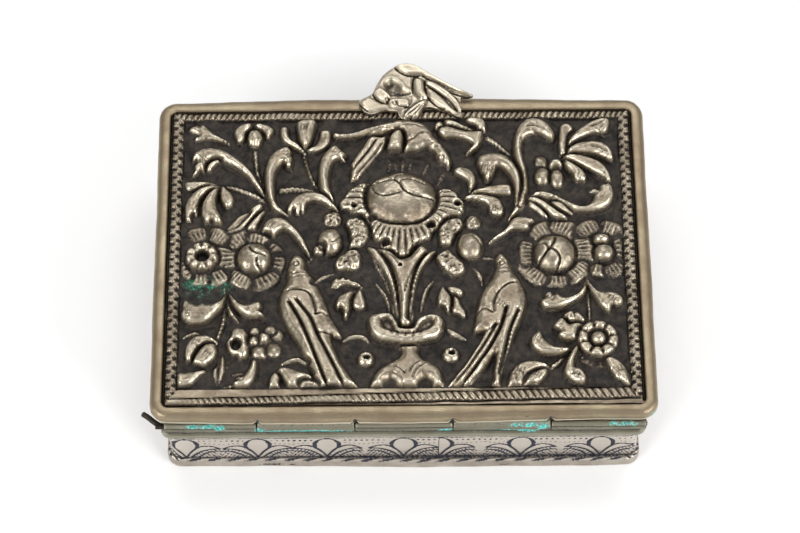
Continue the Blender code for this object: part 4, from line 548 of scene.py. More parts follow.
# Verdigris: across, up, radius in millimetres, strength
VERDIGRIS = [(25, 378, 2.2, 0.9), (60, 372, 2.4, 1.1), (100, 368, 2.2, 0.9), (45, 345, 1.6, 0.7),
    (343, 535, 1.1, 0.8), (312, 545, 0.7, 0.6), (400, 507, 0.7, 1.0), (520, 530, 1.1, 0.9), (522, 505, 0.8, 0.7),
    (570, 575, 0.9, 0.9), (585, 550, 0.7, 0.7), (655, 485, 1.1, 1.0), (675, 500, 0.8, 0.5), (830, 490, 1.4, 0.8),
    (812, 460, 0.9, 0.7), (812, 515, 0.8, 0.7), (740, 440, 1.0, 0.7), (755, 420, 1.0, 0.6), (720, 350, 0.9, 0.5),
    (705, 300, 0.8, 0.4), (250, 420, 0.6, 0.5), (262, 400, 0.6, 0.4), (417, 108, 0.6, 1.0), (608, 122, 0.6, 1.0),
    (185, 480, 0.9, 0.6), (443, 228, 0.6, 0.8), (505, 720, 0.8, 0.5), (525, 705, 0.7, 0.4), (270, 25, 0.6, 0.7),
    (154, 175, 0.6, 0.5), (300, 250, 0.8, 0.35), (280, 280, 0.7, 0.35), (765, 360, 0.8, 0.5), (620, 300, 0.9, 0.35),
    (430, 600, 0.6, 0.5), (378, 720, 0.5, 0.5), (270, 690, 0.5, 0.4), (835, 230, 0.5, 0.5), (418, 945, 0.5, 0.5)]

CURVE_STEPS = 6
CHASED_SHARE = 0.75
CHASED_REACH = 0.34
SOFTNESS = 0.13
LEAF_GROWTH = 0.16
PETAL_REACH, PETAL_SPREAD, PETAL_BLUNTNESS, DOME_BLUNTNESS = 1.15, 1.36, 2.6, 2.2
STEM_TWIST, HATCH_HALF_WIDTH, HATCH_DEPTH = 0.9, 0.15, 0.26
CHASED_LEVEL, EYE_LEVEL = 0.45, 0.5
CUSHION_GROWTH = 0.2
DOME_GROWTH = 0.16
BENCH_HEIGHT = 24.6
LOOK_SLOPE = 0.554


def linear(code):
    """An sRGB hex colour as linear red, green, blue and alpha."""
    parts = [int(code[i:i + 2], 16) / 255 for i in (1, 3, 5)]
    return tuple(((c + 0.055) / 1.055) ** 2.4 if c > 0.04045 else c / 12.92 for c in parts) + (1.0,)


def smooth_line(rows, closed=False):
    """A smooth curve through rows of any number of columns."""
    rows = np.array(rows, float)
    count = len(rows)
    share = np.linspace(0, 1, CURVE_STEPS, endpoint=False)[:, None]
    parts = []
    for i in range(count if closed else count - 1):
        before, after = i - 1, i + 2
        if closed:
            after %= count
        else:
            before, after = max(before, 0), min(after, count - 1)
        a, b, c, d = rows[before], rows[i], rows[(i + 1) % count], rows[after]
        parts.append(0.5 * (2 * b + (c - a) * share + (2 * a - 5 * b + 4 * c - d) * share ** 2
                            + (3 * b - a - 3 * c + d) * share ** 3))
    parts.append(rows[:1] if closed else rows[-1:])
    return np.concatenate(parts)


def blurred(values, reach):
    """Soften a grid over a reach given in cells."""
    padding = int(4 * reach) + 2
    padded = np.pad(values, padding, mode="edge")
    rows = np.fft.fftfreq(padded.shape[0])[:, None]
    columns = np.fft.rfftfreq(padded.shape[1])[None]
    keep = np.exp(-2 * (math.pi * reach) ** 2 * (rows ** 2 + columns ** 2))
    soft = np.fft.irfft2(np.fft.rfft2(padded) * keep, padded.shape)
    return soft[padding:-padding, padding:-padding]


def unevenness(shape, reach, seed):
    """Even random waviness of unit size, its lumps as wide as the reach in cells."""
    rough = blurred(np.random.default_rng(seed).normal(size=shape), reach)
    return rough / max(rough.std(), 1e-9)


def inside_line(line, x, y):
    """Which places lie inside a closed line."""
    inside = np.zeros(x.shape, bool)
    for (x0, y0), (x1, y1) in zip(line[:-1, :2], line[1:, :2]):
        level = y1 - y0 if y1 != y0 else 1.0
        inside ^= ((y0 > y) != (y1 > y)) & (x < x0 + (y - y0) / level * (x1 - x0))
    return inside


def nearest_on(x, y, x0, y0, x1, y1):
    """Share along a span, and the distance, of the point on it nearest to each place."""
    dx, dy = x1 - x0, y1 - y0
    along = np.clip(((x - x0) * dx + (y - y0) * dy) / max(dx * dx + dy * dy, 1e-9), 0, 1)
    return along, np.hypot(x - x0 - along * dx, y - y0 - along * dy)


def closed_inside(line, x, y):
    """Which places lie inside a closed line, and how far each is from it."""
    away = np.full(len(x), np.inf)
    for (x0, y0), (x1, y1) in zip(line[:-1, :2], line[1:, :2]):
        away = np.minimum(away, nearest_on(x, y, x0, y0, x1, y1)[1])
    return inside_line(line, x, y), away


class Embossing:
    """Height of worked sheet above its ground on an even grid, in millimetres."""

    def __init__(self, left, front, width, depth, across, deep):
        self.x = left + width * np.linspace(0, 1, across + 1)
        self.y = front + depth * np.linspace(0, 1, deep + 1)
        self.cell = width / across
        self.height = np.zeros((deep + 1, across + 1))

    def near(self, low, high):
        """The part of the grid between two corners, and the places in it."""
        i = np.searchsorted(self.x, (low[0], high[0]))
        j = np.searchsorted(self.y, (low[1], high[1]))
        px, py = np.meshgrid(self.x[i[0]:i[1]], self.y[j[0]:j[1]])
        return (slice(*j), slice(*i)), px, py

    def round_place(self, x, y, reach):
        """The part of the grid within a reach of one place."""
        return self.near((x - reach, y - reach), (x + reach, y + reach))

    def round_line(self, line, margin):
        """The part of the grid round a line, with the distance to and the share along each span."""
        part, px, py = self.near(line[:, :2].min(0) - margin, line[:, :2].max(0) + margin)
        start, run = line[:-1, :2], np.diff(line[:, :2], axis=0)
        length = np.maximum((run ** 2).sum(1), 1e-9)
        dx = px[None] - start[:, 0, None, None]
        dy = py[None] - start[:, 1, None, None]
        run_x, run_y = run[:, 0, None, None], run[:, 1, None, None]
        along = np.clip((dx * run_x + dy * run_y) / length[:, None, None], 0, 1)
        return part, px, py, np.hypot(dx - along * run_x, dy - along * run_y), along

    def lay_over(self, part, body, outside):
        """Put raised work over what lies there, set off by a chased line round it."""
        line = np.exp(-(np.maximum(outside, 0) / CHASED_REACH) ** 2)
        under = self.height[part] * (1 - CHASED_SHARE * line)
        self.height[part] = np.maximum(under, body)

    def leaf(self, line, top, twist=0.0):
        """Raise a ridged leaf or stem along a line whose third column is its half width."""
        widest = line[:, 2].max()
        part, px, py, away, along = self.round_line(line, widest + 3 * CHASED_REACH)
        if not px.size:
            return
        width = line[:-1, 2, None, None] * (1 - along) + line[1:, 2, None, None] * along
        share = np.clip(away / width, 0, 1)
        body = (1 - share ** 1.8) ** 0.62 * (width / widest) ** 0.6
        best = body.argmax(0)
        body = np.take_along_axis(body, best[None], 0)[0]
        if twist:
            steps = np.hypot(*np.diff(line[:, :2], axis=0).T)
            travelled = np.concatenate([[0], np.cumsum(steps)])[:-1, None, None] + along * steps[:, None, None]
            travelled = np.take_along_axis(travelled, best[None], 0)[0]
            run = np.diff(line[:, :2], axis=0)[best] / np.maximum(steps, 1e-9)[best][..., None]
            side = run[..., 0] * (py - line[best, 1]) - run[..., 1] * (px - line[best, 0])
            body = body * (1 - 0.5 * (0.5 + 0.5 * np.cos(2 * math.pi * (travelled + side) / twist)))
        self.lay_over(part, top * body, (away - width).min(0))

    def cushion(self, line, top, edge, growth=0.0):
        """Raise a rounded pad inside a closed line."""
        part, px, py, away, _ = self.round_line(line, 3 * CHASED_REACH)
        signed = np.where(inside_line(line, px, py), -away.min(0), away.min(0)) - growth
        rise = np.clip(-signed / edge, 0, 1)
        self.lay_over(part, top * (1 - (1 - rise) ** 2.1) ** 0.55, signed)

    def dome(self, x, y, half_x, half_y, top, turn=0.0, ribs=0, blunt=2.0):
        """Raise an oval boss, with ribs across its spread if it is a petal."""
        part, px, py = self.round_place(x, y, max(half_x, half_y) + 3 * CHASED_REACH)
        if not px.size:
            return
        out = (px - x) * math.cos(turn) + (py - y) * math.sin(turn)
        side = (py - y) * math.cos(turn) - (px - x) * math.sin(turn)
        share = (np.abs(out / half_x) ** blunt + np.abs(side / half_y) ** blunt) ** (1 / blunt)
        body = np.sqrt(np.clip(1 - share ** blunt, 0, 1))
        if ribs:
            fan = side / half_y * (1 - 0.25 * out / half_x)
            groove = 0.5 + 0.5 * np.cos(math.pi * ribs * fan)
            body = body * (1 - 0.5 * groove * np.clip(1.3 - np.abs(out / half_x + 0.15) * 1.3, 0, 1))
        self.lay_over(part, top * body, (share - 1) * min(half_x, half_y))

    def wheel(self, x, y, inner, outer, top, spokes, cut_in):
        """Raise a ring parted by spokes."""
        part, px, py = self.round_place(x, y, outer + 3 * CHASED_REACH)
        away, angle = np.hypot(px - x, py - y), np.arctan2(py - y, px - x)
        middle, half = (inner + outer) / 2, (outer - inner) / 2
        body = np.clip(1 - np.abs((away - middle) / half) ** 3, 0, 1) ** 0.5
        cut = np.abs((angle * spokes / math.pi + 0.35) % 2 - 1) * math.pi / spokes * away
        body = body * (1 - 0.5 * np.exp(-(cut / 0.24) ** 2) * np.clip(cut_in + (away - middle) / half, 0, 1))
        self.lay_over(part, top * body, np.maximum(away - outer, -1.0))

    def sink(self, line, floor, edge):
        """Lower what lies inside a closed line to a floor."""
        part, px, py = self.near(line[:, :2].min(0), line[:, :2].max(0))
        inside, away = closed_inside(line, px.ravel(), py.ravel())
        share = np.where(inside, np.clip(away / edge, 0, 1), 0).reshape(px.shape)
        share = share * share * (3 - 2 * share)
        self.height[part] = self.height[part] * (1 - share) + np.minimum(self.height[part], floor) * share

    def chase(self, line, half_width, depth):
        """Sink a rounded line into the raised work."""
        part, _, _, away, _ = self.round_line(line, 3 * half_width)
        sunk = depth * np.exp(-(away.min(0) / half_width) ** 2)
        self.height[part] = np.maximum(self.height[part] - sunk, np.minimum(self.height[part], 0.05))

    def rays(self, x, y, inner, outer, count, depth, outline):
        """Sink radial lines round a centre into the raised work inside an outline."""
        part, px, py = self.round_place(x, y, outer)
        away, angle = np.hypot(px - x, py - y), np.arctan2(py - y, px - x)
        ring = np.clip((away - inner) / 0.4, 0, 1) * np.clip((outer - away) / 0.8, 0, 1)
        line = np.clip(np.cos(count * angle + 0.8 * np.sin(3 * angle)), 0, 1) ** 2
        raised = np.clip(self.height[part] - 0.3, 0, 1) * inside_line(outline, px, py)
        self.height[part] -= depth * ring * line * raised

    def pierce(self, x, y, radius):
        """Punch a round hollow down to the ground."""
        part, px, py = self.round_place(x, y, 2 * radius)
        away = np.hypot(px - x, py - y) / radius
        self.height[part] *= 1 - np.exp(-away ** 4)

    def hatch(self, x, y, turn, length, count, spacing):
        """Cut short strokes side by side."""
        cos, sin = math.cos(turn), math.sin(turn)
        for i in range(count):
            out = (i - (count - 1) / 2) * spacing
            reach = length / 2 * (1 - 0.25 * (i % 2))
            middle = np.array([x - out * sin, y + out * cos])
            tip = reach * np.array([cos, sin])
            self.chase(np.array([middle - tip, middle, middle + tip]), HATCH_HALF_WIDTH, HATCH_DEPTH)

    def ring(self, x, y, radius):
        """Punch a small ring."""
        part, px, py = self.round_place(x, y, 2 * radius)
        away = np.hypot(px - x, py - y)
        self.height[part] -= 0.45 * np.exp(-((away - radius) / 0.16) ** 2)

    def matting(self, x, y, half_x, half_y, seed):
        """Punch many small dots over an oval."""
        random = np.random.default_rng(seed)
        for _ in range(int(3.6 * half_x * half_y * math.pi)):
            spread, angle = math.sqrt(random.random()), 2 * math.pi * random.random()
            dot_x, dot_y = x + half_x * spread * math.cos(angle), y + half_y * spread * math.sin(angle)
            radius = 0.16 + 0.08 * random.random()
            part, px, py = self.round_place(dot_x, dot_y, 0.8)
            raised = np.clip(self.height[part], 0, 1)
            self.height[part] -= 0.3 * raised * np.exp(-((px - dot_x) ** 2 + (py - dot_y) ** 2) / radius ** 2)


def on_field(rows, top=0.0):
    """Thousandths of the field as places in millimetres, set back for the height they were seen at."""
    rows = np.array(rows, float) / 1000
    out = rows.copy()
    out[:, 0] = FIELD_LEFT + rows[:, 0] * FIELD_WIDTH
    out[:, 1] = FIELD_FRONT + rows[:, 1] * FIELD_DEPTH
    if top:
        out[:, 1] -= (GROUND + top - BENCH_HEIGHT) * LOOK_SLOPE
    if rows.shape[1] > 2:
        out[:, 2] = rows[:, 2] * FIELD_WIDTH
    return out


def worked_field(relief, across, deep, margin=0.0):
    """The lid's whole design, laid down in the order that the smith would chase it."""
    work = Embossing(FIELD_LEFT - margin, FIELD_FRONT - margin, FIELD_WIDTH + 2 * margin,
                     FIELD_DEPTH + 2 * margin, across, deep)
    width = FIELD_WIDTH
    for u, v, reach, spread, turn, top, ribs in PETALS:
        x, y = on_field([(u, v)])[0]
        work.dome(x, y, PETAL_REACH * reach, PETAL_SPREAD * spread, top * relief, math.radians(turn), ribs,
                  PETAL_BLUNTNESS)
    for top, rows in STEMS:
        work.leaf(smooth_line(on_field(rows)), top * relief, STEM_TWIST)
    for top, edge, rows in CUSHIONS:
        work.cushion(smooth_line(on_field(rows), True), top * relief, edge * width, CUSHION_GROWTH)
    for top, rows in SCROLLS:
        work.leaf(smooth_line(on_field(rows)), top * relief)
    for top, edge, rows in LEAF_SHAPES:
        work.cushion(smooth_line(on_field(rows), True), top * relief, edge * width, LEAF_GROWTH)
    for u, v, inner, outer, top, spokes, cut_in in WHEELS:
        x, y = on_field([(u, v)])[0]
        work.wheel(x, y, inner, outer, top * relief, spokes, cut_in)
    for u, v, half_x, half_y, top in DOMES:
        x, y = on_field([(u, v)])[0]
        work.dome(x, y, half_x * width + DOME_GROWTH, half_y * width + DOME_GROWTH, top * relief,
                  blunt=DOME_BLUNTNESS)
    for floor, edge, rows in PITS:
        work.sink(smooth_line(on_field(rows), True), floor * relief, edge * width)
    work.height = blurred(work.height, SOFTNESS / work.cell)
    for u, v, inner, outer, count, depth in RAYS:
        work.rays(*on_field([(u, v)])[0], inner, outer, count, depth, smooth_line(on_field(COLLAR), True))
    for half_width, depth, rows in CHASED:
        work.chase(smooth_line(on_field(rows, CHASED_LEVEL * relief)), half_width, depth)
    for u, v, turn, length, count, spacing in HATCHES:
        work.hatch(*on_field([(u, v)])[0], math.radians(turn), length, count, spacing)
    for u, v, radius in PIERCED:
        work.pierce(*on_field([(u, v)])[0], radius)
    for u, v, radius in EYES:
        work.ring(*on_field([(u, v)], EYE_LEVEL * relief)[0], radius)
    for i, (u, v, half_x, half_y) in enumerate(MATTED):
        work.matting(*on_field([(u, v)])[0], half_x, half_y, i)
    return work


def read_points(piece):
    """The corners of a piece as rows of millimetres."""
    places = np.empty(3 * len(piece.data.vertices))
    piece.data.vertices.foreach_get("co", places)
    return places.reshape(-1, 3) / MM


def write_points(piece, places):
    """Move the corners of a piece to rows of millimetres."""
    piece.data.vertices.foreach_set("co", (places * MM).ravel())
    piece.data.update()


def mark(piece, name, values):
    """Keep one number for each corner, which the finish reads."""
    layer = piece.data.attributes.get(name) or piece.data.attributes.new(name, "FLOAT", "POINT")
    layer.data.foreach_set("value", np.clip(values, 0, 1).ravel().astype(np.float32))


def begin_edit(piece, kind="EDGE"):
    """Open one piece alone in edit mode."""
    bpy.ops.object.select_all(action="DESELECT")
    piece.select_set(True)
    bpy.context.view_layer.objects.active = piece
    bpy.ops.object.mode_set(mode="EDIT")
    bpy.ops.mesh.select_mode(type=kind)


def end_edit():
    """Return to object mode."""
    bpy.ops.object.mode_set(mode="OBJECT")


def pick(piece, parts, wanted):
    """Select only some corners, edges or faces of a piece, in object mode."""
    for kind in ("vertices", "edges", "polygons"):
        items = getattr(piece.data, kind)
        chosen = wanted if kind == parts else np.zeros(len(items), bool)
        items.foreach_set("select", chosen)
    begin_edit(piece, {"vertices": "VERT", "edges": "EDGE", "polygons": "FACE"}[parts])


def chosen_points(piece):
    """Which corners were selected when edit mode was left."""
    chosen = np.empty(len(piece.data.vertices), bool)
    piece.data.vertices.foreach_get("select", chosen)
    return chosen


def edge_ends(piece):
    """The two corners of every edge."""
    ends = np.empty(2 * len(piece.data.edges), int)
    piece.data.edges.foreach_get("vertices", ends)
    return ends.reshape(-1, 2)


def face_middles(piece):
    """The middle of every face in millimetres."""
    middles = np.empty(3 * len(piece.data.polygons))
    piece.data.polygons.foreach_get("center", middles)
    return middles.reshape(-1, 3) / MM


def finish_piece(piece, cad_nodes, body, material, sharp=50):
    """Shade a finished piece, give it its material and let it stand for its CAD nodes."""
    begin_edit(piece)
    bpy.ops.mesh.select_all(action="SELECT")
    bpy.ops.mesh.normals_make_consistent(inside=False)
    end_edit()
    bpy.ops.object.shade_smooth_by_angle(angle=math.radians(sharp))
    piece.data.materials.clear()
    piece.data.materials.append(material)
    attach(piece, body)
    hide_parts(*cad_nodes)


def add_grid(name, across, deep, left, front, width, depth):
    """A flat grid of cells, its corners in rows from the front left, in millimetres."""
    bpy.ops.object.select_all(action="DESELECT")
    bpy.ops.mesh.primitive_grid_add(x_subdivisions=across, y_subdivisions=deep, size=1)
    piece = bpy.context.object
    piece.name = piece.data.name = name
    places = read_points(piece) * MM + 0.5
    places[:, 0] = left + width * places[:, 0]
    places[:, 1] = front + depth * places[:, 1]
    places[:, 2] = 0
    write_points(piece, places)
    return piece


def carry_rings(piece, count):
    """Extrude the one open loop of a piece in place, and say which ring each corner belongs to."""
    rings = np.zeros(len(piece.data.vertices), int)
    begin_edit(piece)
    bpy.ops.mesh.select_all(action="SELECT")
    for ring in range(1, count):
        bpy.ops.mesh.extrude_edges_move()
        end_edit()
        chosen = chosen_points(piece)
        rings = np.concatenate([rings, np.zeros(len(chosen) - len(rings), int)])
        rings[chosen] = ring
        begin_edit(piece)
    end_edit()
    return rings


def add_rings(name, sides, count):
    """A circle carried into rings: the piece, the ring of each corner and its place on a unit circle."""
    bpy.ops.object.select_all(action="DESELECT")
    bpy.ops.mesh.primitive_circle_add(vertices=sides, radius=1, fill_type="NOTHING")
    piece = bpy.context.object
    piece.name = piece.data.name = name
    rings = carry_rings(piece, count)
    return piece, rings, read_points(piece) * MM


def close_rings(piece, rings, count):
    """Join the last ring of a piece to its first."""
    ends = edge_ends(piece)
    for ring in (0, count - 1):
        assert np.any(np.all(rings[ends] == ring, axis=1)), "a ring is missing"
    pick(piece, "edges", np.all(rings[ends] == 0, axis=1) | np.all(rings[ends] == count - 1, axis=1))
    bpy.ops.mesh.bridge_edge_loops()
    end_edit()


def rounded_loop(name, half_x, half_y, corner, spacing):
    """An open rounded rectangle of edges about one spacing long."""
    bpy.ops.object.select_all(action="DESELECT")
    bpy.ops.mesh.primitive_plane_add(size=2)
    piece = bpy.context.object
    piece.name = piece.data.name = name
    write_points(piece, read_points(piece) * MM * (half_x, half_y, 0))
    begin_edit(piece)
    bpy.ops.mesh.select_all(action="SELECT")
    arc = max(6, int(math.pi / 2 * corner / spacing))
    bpy.ops.mesh.bevel(offset=corner * MM, segments=arc, affect="VERTICES", profile=0.5)
    bpy.ops.mesh.select_all(action="SELECT")
    bpy.ops.mesh.delete(type="ONLY_FACE")
    end_edit()
    for axis, half in ((0, half_x), (1, half_y)):
        places, ends = read_points(piece), edge_ends(piece)
        run = np.abs(places[ends[:, 0]] - places[ends[:, 1]])
        pick(piece, "edges", (run[:, axis] > half) & (run[:, 1 - axis] < 1e-3))
        bpy.ops.mesh.subdivide(number_cuts=int(2 * (half - corner) / spacing))
        end_edit()
    return piece


def offset_rounded(places, half_x, half_y, corner, inset):
    """Places on a rounded rectangle moved in by their own inset, with the corners drawn tighter."""
    half = np.array([half_x, half_y])
    flat = places[:, :2]
    core = np.clip(flat, corner - half, half - corner)
    out = (flat - core) / corner
    radius = np.maximum(corner - inset, 0.35)[:, None]
    limit = half - inset[:, None] - radius
    at_corner = (np.abs(core) > half - corner - 1e-3).all(1)[:, None]
    core = np.where(at_corner, np.sign(core) * limit, np.clip(core, -limit, limit))
    return core + out * radius, out


def along_loop(flat, half_x, half_y):
    """Distance of places round a rectangle, from the middle of the hinge side anticlockwise."""
    x, y = flat[:, 0], flat[:, 1]
    right = x / half_x > np.abs(y / half_y)
    left = -x / half_x > np.abs(y / half_y)
    back = (y > 0) & ~right & ~left
    way = x.copy()
    way[right] = half_x + half_y + y[right]
    way[back] = 2 * half_x + 2 * half_y - x[back]
    way[left] = 3 * half_x + 3 * half_y - y[left]
    return way


def add_moulding(name, half_x, half_y, corner, sections, spacing):
    """A moulding carried round a rounded rectangle; each row of the section is its inset and height."""
    piece = rounded_loop(name, half_x, half_y, corner, spacing)
    rings = carry_rings(piece, len(sections))
    start = read_points(piece)
    sections = np.array(sections)
    flat, out = offset_rounded(start, half_x, half_y, corner, sections[rings, 0])
    places = np.column_stack([flat, sections[rings, 1]])
    write_points(piece, places)
    close_rings(piece, rings, len(sections))
    return piece, rings, places, np.column_stack([out, np.zeros(len(out))])


def add_embossed_field(sizes):
    """The picture worked into the lid's sheet: vase, birds, flowers and leaves."""
    margin = 0.2
    relief = sizes.relief_height / MM
    piece = add_grid("embossed_field", FIELD_CELLS_ACROSS, FIELD_CELLS_DEEP, FIELD_LEFT - margin,
                     FIELD_FRONT - margin, FIELD_WIDTH + 2 * margin, FIELD_DEPTH + 2 * margin)
    work = worked_field(relief, FIELD_CELLS_ACROSS, FIELD_CELLS_DEEP, margin)
    height, cell = work.height, work.cell
    shape = height.shape
    to_edge = np.minimum(np.minimum(work.x - work.x[0], work.x[-1] - work.x)[None],
                         np.minimum(work.y - work.y[0], work.y[-1] - work.y)[:, None])
    height *= np.clip(to_edge / 0.7, 0, 1) ** 0.5
    raised = np.clip(height / 1.2, 0, 1)
    uneven = unevenness(shape, 1.1 / cell, 1)
    grain = unevenness(shape, 0.2 / cell, 2)
    lumps = unevenness(shape, 1.7 / cell, 4)
    ground = np.exp(-np.maximum(height - 0.06, 0) / 0.5)
    dents = unevenness(shape, 0.5 / cell, 7)
    height = height + 0.26 * lumps * (1 - raised) + 0.09 * uneven + 0.035 * dents + 0.028 * grain
    sunk = blurred(height, 0.8 / cell) - height
    near = blurred(height, 0.3 / cell) - height
    hollow = ground + np.clip(sunk / 0.9, 0, 1) * 0.5 + np.clip(near / 0.2, 0, 1) * 0.6
    polish_and_highlight = np.clip((-near - 0.03) / 0.16, 0, 1) * raised + np.clip(-sunk / 0.9, 0, 1) * 0.2 * raised
    # The highest tops are burnished, and they are also painted brighter as a highlight.
    polish_and_highlight += 0.35 * np.clip((height / relief - 0.6) / 0.3, 0, 1)
    green = np.zeros(shape)
    x, y = np.meshgrid(work.x, work.y)
    patchy = np.clip(0.6 + 0.4 * unevenness(shape, 0.3 / cell, 3), 0, 1)
    for u, v, radius, strength in VERDIGRIS:
        place = on_field([(u, v)])[0]
        away = np.hypot(x - place[0], y - place[1]) / radius
        green = np.maximum(green, strength * np.exp(-away ** 2) * patchy * np.clip(1.3 - raised, 0, 1))
    places = read_points(piece)
    places[:, 2] = GROUND + np.maximum(height, 0.6 * (SHEET_BOTTOM - GROUND)).ravel()
    write_points(piece, places)
    mark(piece, "hollow", hollow)
    mark(piece, "polish_and_highlight", polish_and_highlight)
    mark(piece, "green", green)
    turn_edges_down(piece, SHEET_BOTTOM)
    bpy.ops.mesh.edge_face_add()
    end_edit()
    return piece


def edge_faces(piece):
    """How many faces meet at every edge."""
    used = np.empty(len(piece.data.loops), int)
    piece.data.loops.foreach_get("edge_index", used)
    return np.bincount(used, minlength=len(piece.data.edges))


def turn_edges_down(piece, level):
    """Extrude the open edges of a piece to one level, and leave the new ones picked in edit mode."""
    pick(piece, "edges", edge_faces(piece) == 1)
    bpy.ops.mesh.extrude_edges_move()
    end_edit()
    lower = chosen_points(piece)
    places = read_points(piece)
    places[lower, 2] = level
    write_points(piece, places)
    begin_edit(piece)


def rope_heights(along, run, share, lay, width):
    """Height share of a roped band: a braid of two rows of punched pits, or a row of slanted beads."""
    worn = sum(part * np.exp(-((along - place) / reach) ** 2) for place, reach, part in lay["worn"])
    across = np.clip(1 - np.abs(2 * share - 1) ** 4, 0, 1) ** 0.5
    if lay["punched"]:
        pits = np.zeros(len(along))
        for half in (0, 1):
            local = ((run / lay["pitch"] + 0.5 * half + 0.08 * np.sin(along / 2.3)) % 1 - 0.5) * lay["pitch"]
            away = np.hypot(local + 0.3 * (share - 0.25), (share - 0.24 - 0.52 * half) * width) / 0.42
            pits = np.maximum(pits, np.exp(-away ** 4))
        ridge = 0.5 + 0.5 * np.cos(4 * math.pi * (run / lay["pitch"] + 0.5 * share))
        return across * (1 - lay["depth"] * (1 - worn) * np.maximum(pits, 0.22 * ridge))
    bead = np.abs(np.sin(math.pi * (run / lay["pitch"] + lay["slant"] * share))) ** 0.55
    return across * (1 - lay["depth"] * (1 - worn) * (1 - bead))


def add_embossed_border():
    """The rope border of the sheet, with a plain strip outside it."""
    cell = BORDER_CELL
    across, deep = int(2 * SHEET_HALF_X / cell), int(2 * SHEET_HALF_Y / cell)
    piece = add_grid("embossed_border", across, deep, -SHEET_HALF_X, -SHEET_HALF_Y,
                     2 * SHEET_HALF_X, 2 * SHEET_HALF_Y)
    places = read_points(piece)
    x, y = places[:, 0], places[:, 1]
    shares = np.array([(SHEET_HALF_X - np.abs(x)) / BORDER_SIDE, (SHEET_HALF_Y - y) / BORDER_BACK,
                       (SHEET_HALF_Y + y) / BORDER_FRONT])
    side = shares.argmin(0)
    share = shares.min(0)
    along = np.where(side == 0, y, x)
    wander = 0.5 * np.sin(along / 3.1) + 0.3 * np.sin(along / 1.3 + 1)
    height = np.zeros(len(x))
    hollow = np.zeros(len(x))
    for number, (lay, width) in enumerate(zip(ROPES, (BORDER_SIDE, BORDER_BACK, BORDER_FRONT))):
        here = side == number
        start, stop = lay["band"]
        seam, run = 0.0, along + 0.25 * wander
        if number == 2:
            lean = np.clip((x + 40) / 80, 0, 1)
            seam = 0.02 + 0.26 * lean + 0.025 * wander
            start, stop = seam + start, stop + 0.54 * lean
            run = lay["pitch"] * 204 * np.log(1 + 0.0049 * (run + 42))
        band = np.clip((share - start) / (stop - start), 0, 1)
        rope = rope_heights(along, run, band, lay, width * (lay["band"][1] - lay["band"][0]))
        flush = np.clip(2 * lean - 0.2, 0, 1) if number == 2 else 0.0
        raised = np.maximum(np.clip(share / 0.03, 0, 1), flush) * np.clip((0.97 - share) / 0.04, 0, 1)
        plain = np.clip(np.maximum(start - share, share - stop) / 0.03, 0, 1)
        height = np.where(here, raised * (BORDER_PLAIN * plain + BORDER_RISE * 1.35 * rope * (1 - plain)), height)
        height -= np.where(here, 0.35 * np.exp(-((share - seam) / 0.04) ** 2), 0)
        groove = np.exp(-((share - seam) / 0.04) ** 2) * 1.5
        notch = np.clip(1 - rope / 0.75, 0, 1) * (1 - plain)
        fall = np.clip((share - 0.9) / 0.08, 0, 1)
        hollow = np.where(here, np.clip(groove, 0, 1) * 0.85 + 1.15 * notch + 0.9 * fall + 0.1, hollow)
    seed = unevenness((deep + 1, across + 1), 1.2 / cell, 5).ravel()
    fine = unevenness((deep + 1, across + 1), 0.25 / cell, 6).ravel()
    height = height + 0.05 * seed + 0.014 * fine
    height = np.where(share > 0.985, -0.2, height)
    height[(share <= 1e-4) & ((side < 2) | (x < -25))] = 0.05
    places[:, 2] = np.minimum(GROUND + height, RIM_TOP + 0.45)
    write_points(piece, places)
    mark(piece, "hollow", hollow)
    mark(piece, "polish_and_highlight", np.clip((height - 0.5) / 0.3, 0, 1) * (1 - np.clip(hollow, 0, 1)) * 0.4)
    middles = face_middles(piece)
    inner_x, inner_y = np.abs(middles[:, 0]) < -FIELD_LEFT - 0.02, middles[:, 1] > FIELD_FRONT + 0.02
    pick(piece, "polygons", inner_x & inner_y & (middles[:, 1] < FIELD_FRONT + FIELD_DEPTH - 0.02))
    bpy.ops.mesh.delete(type="FACE")
    end_edit()
    turn_edges_down(piece, SHEET_BOTTOM)
    bpy.ops.mesh.bridge_edge_loops()
    end_edit()
    return piece


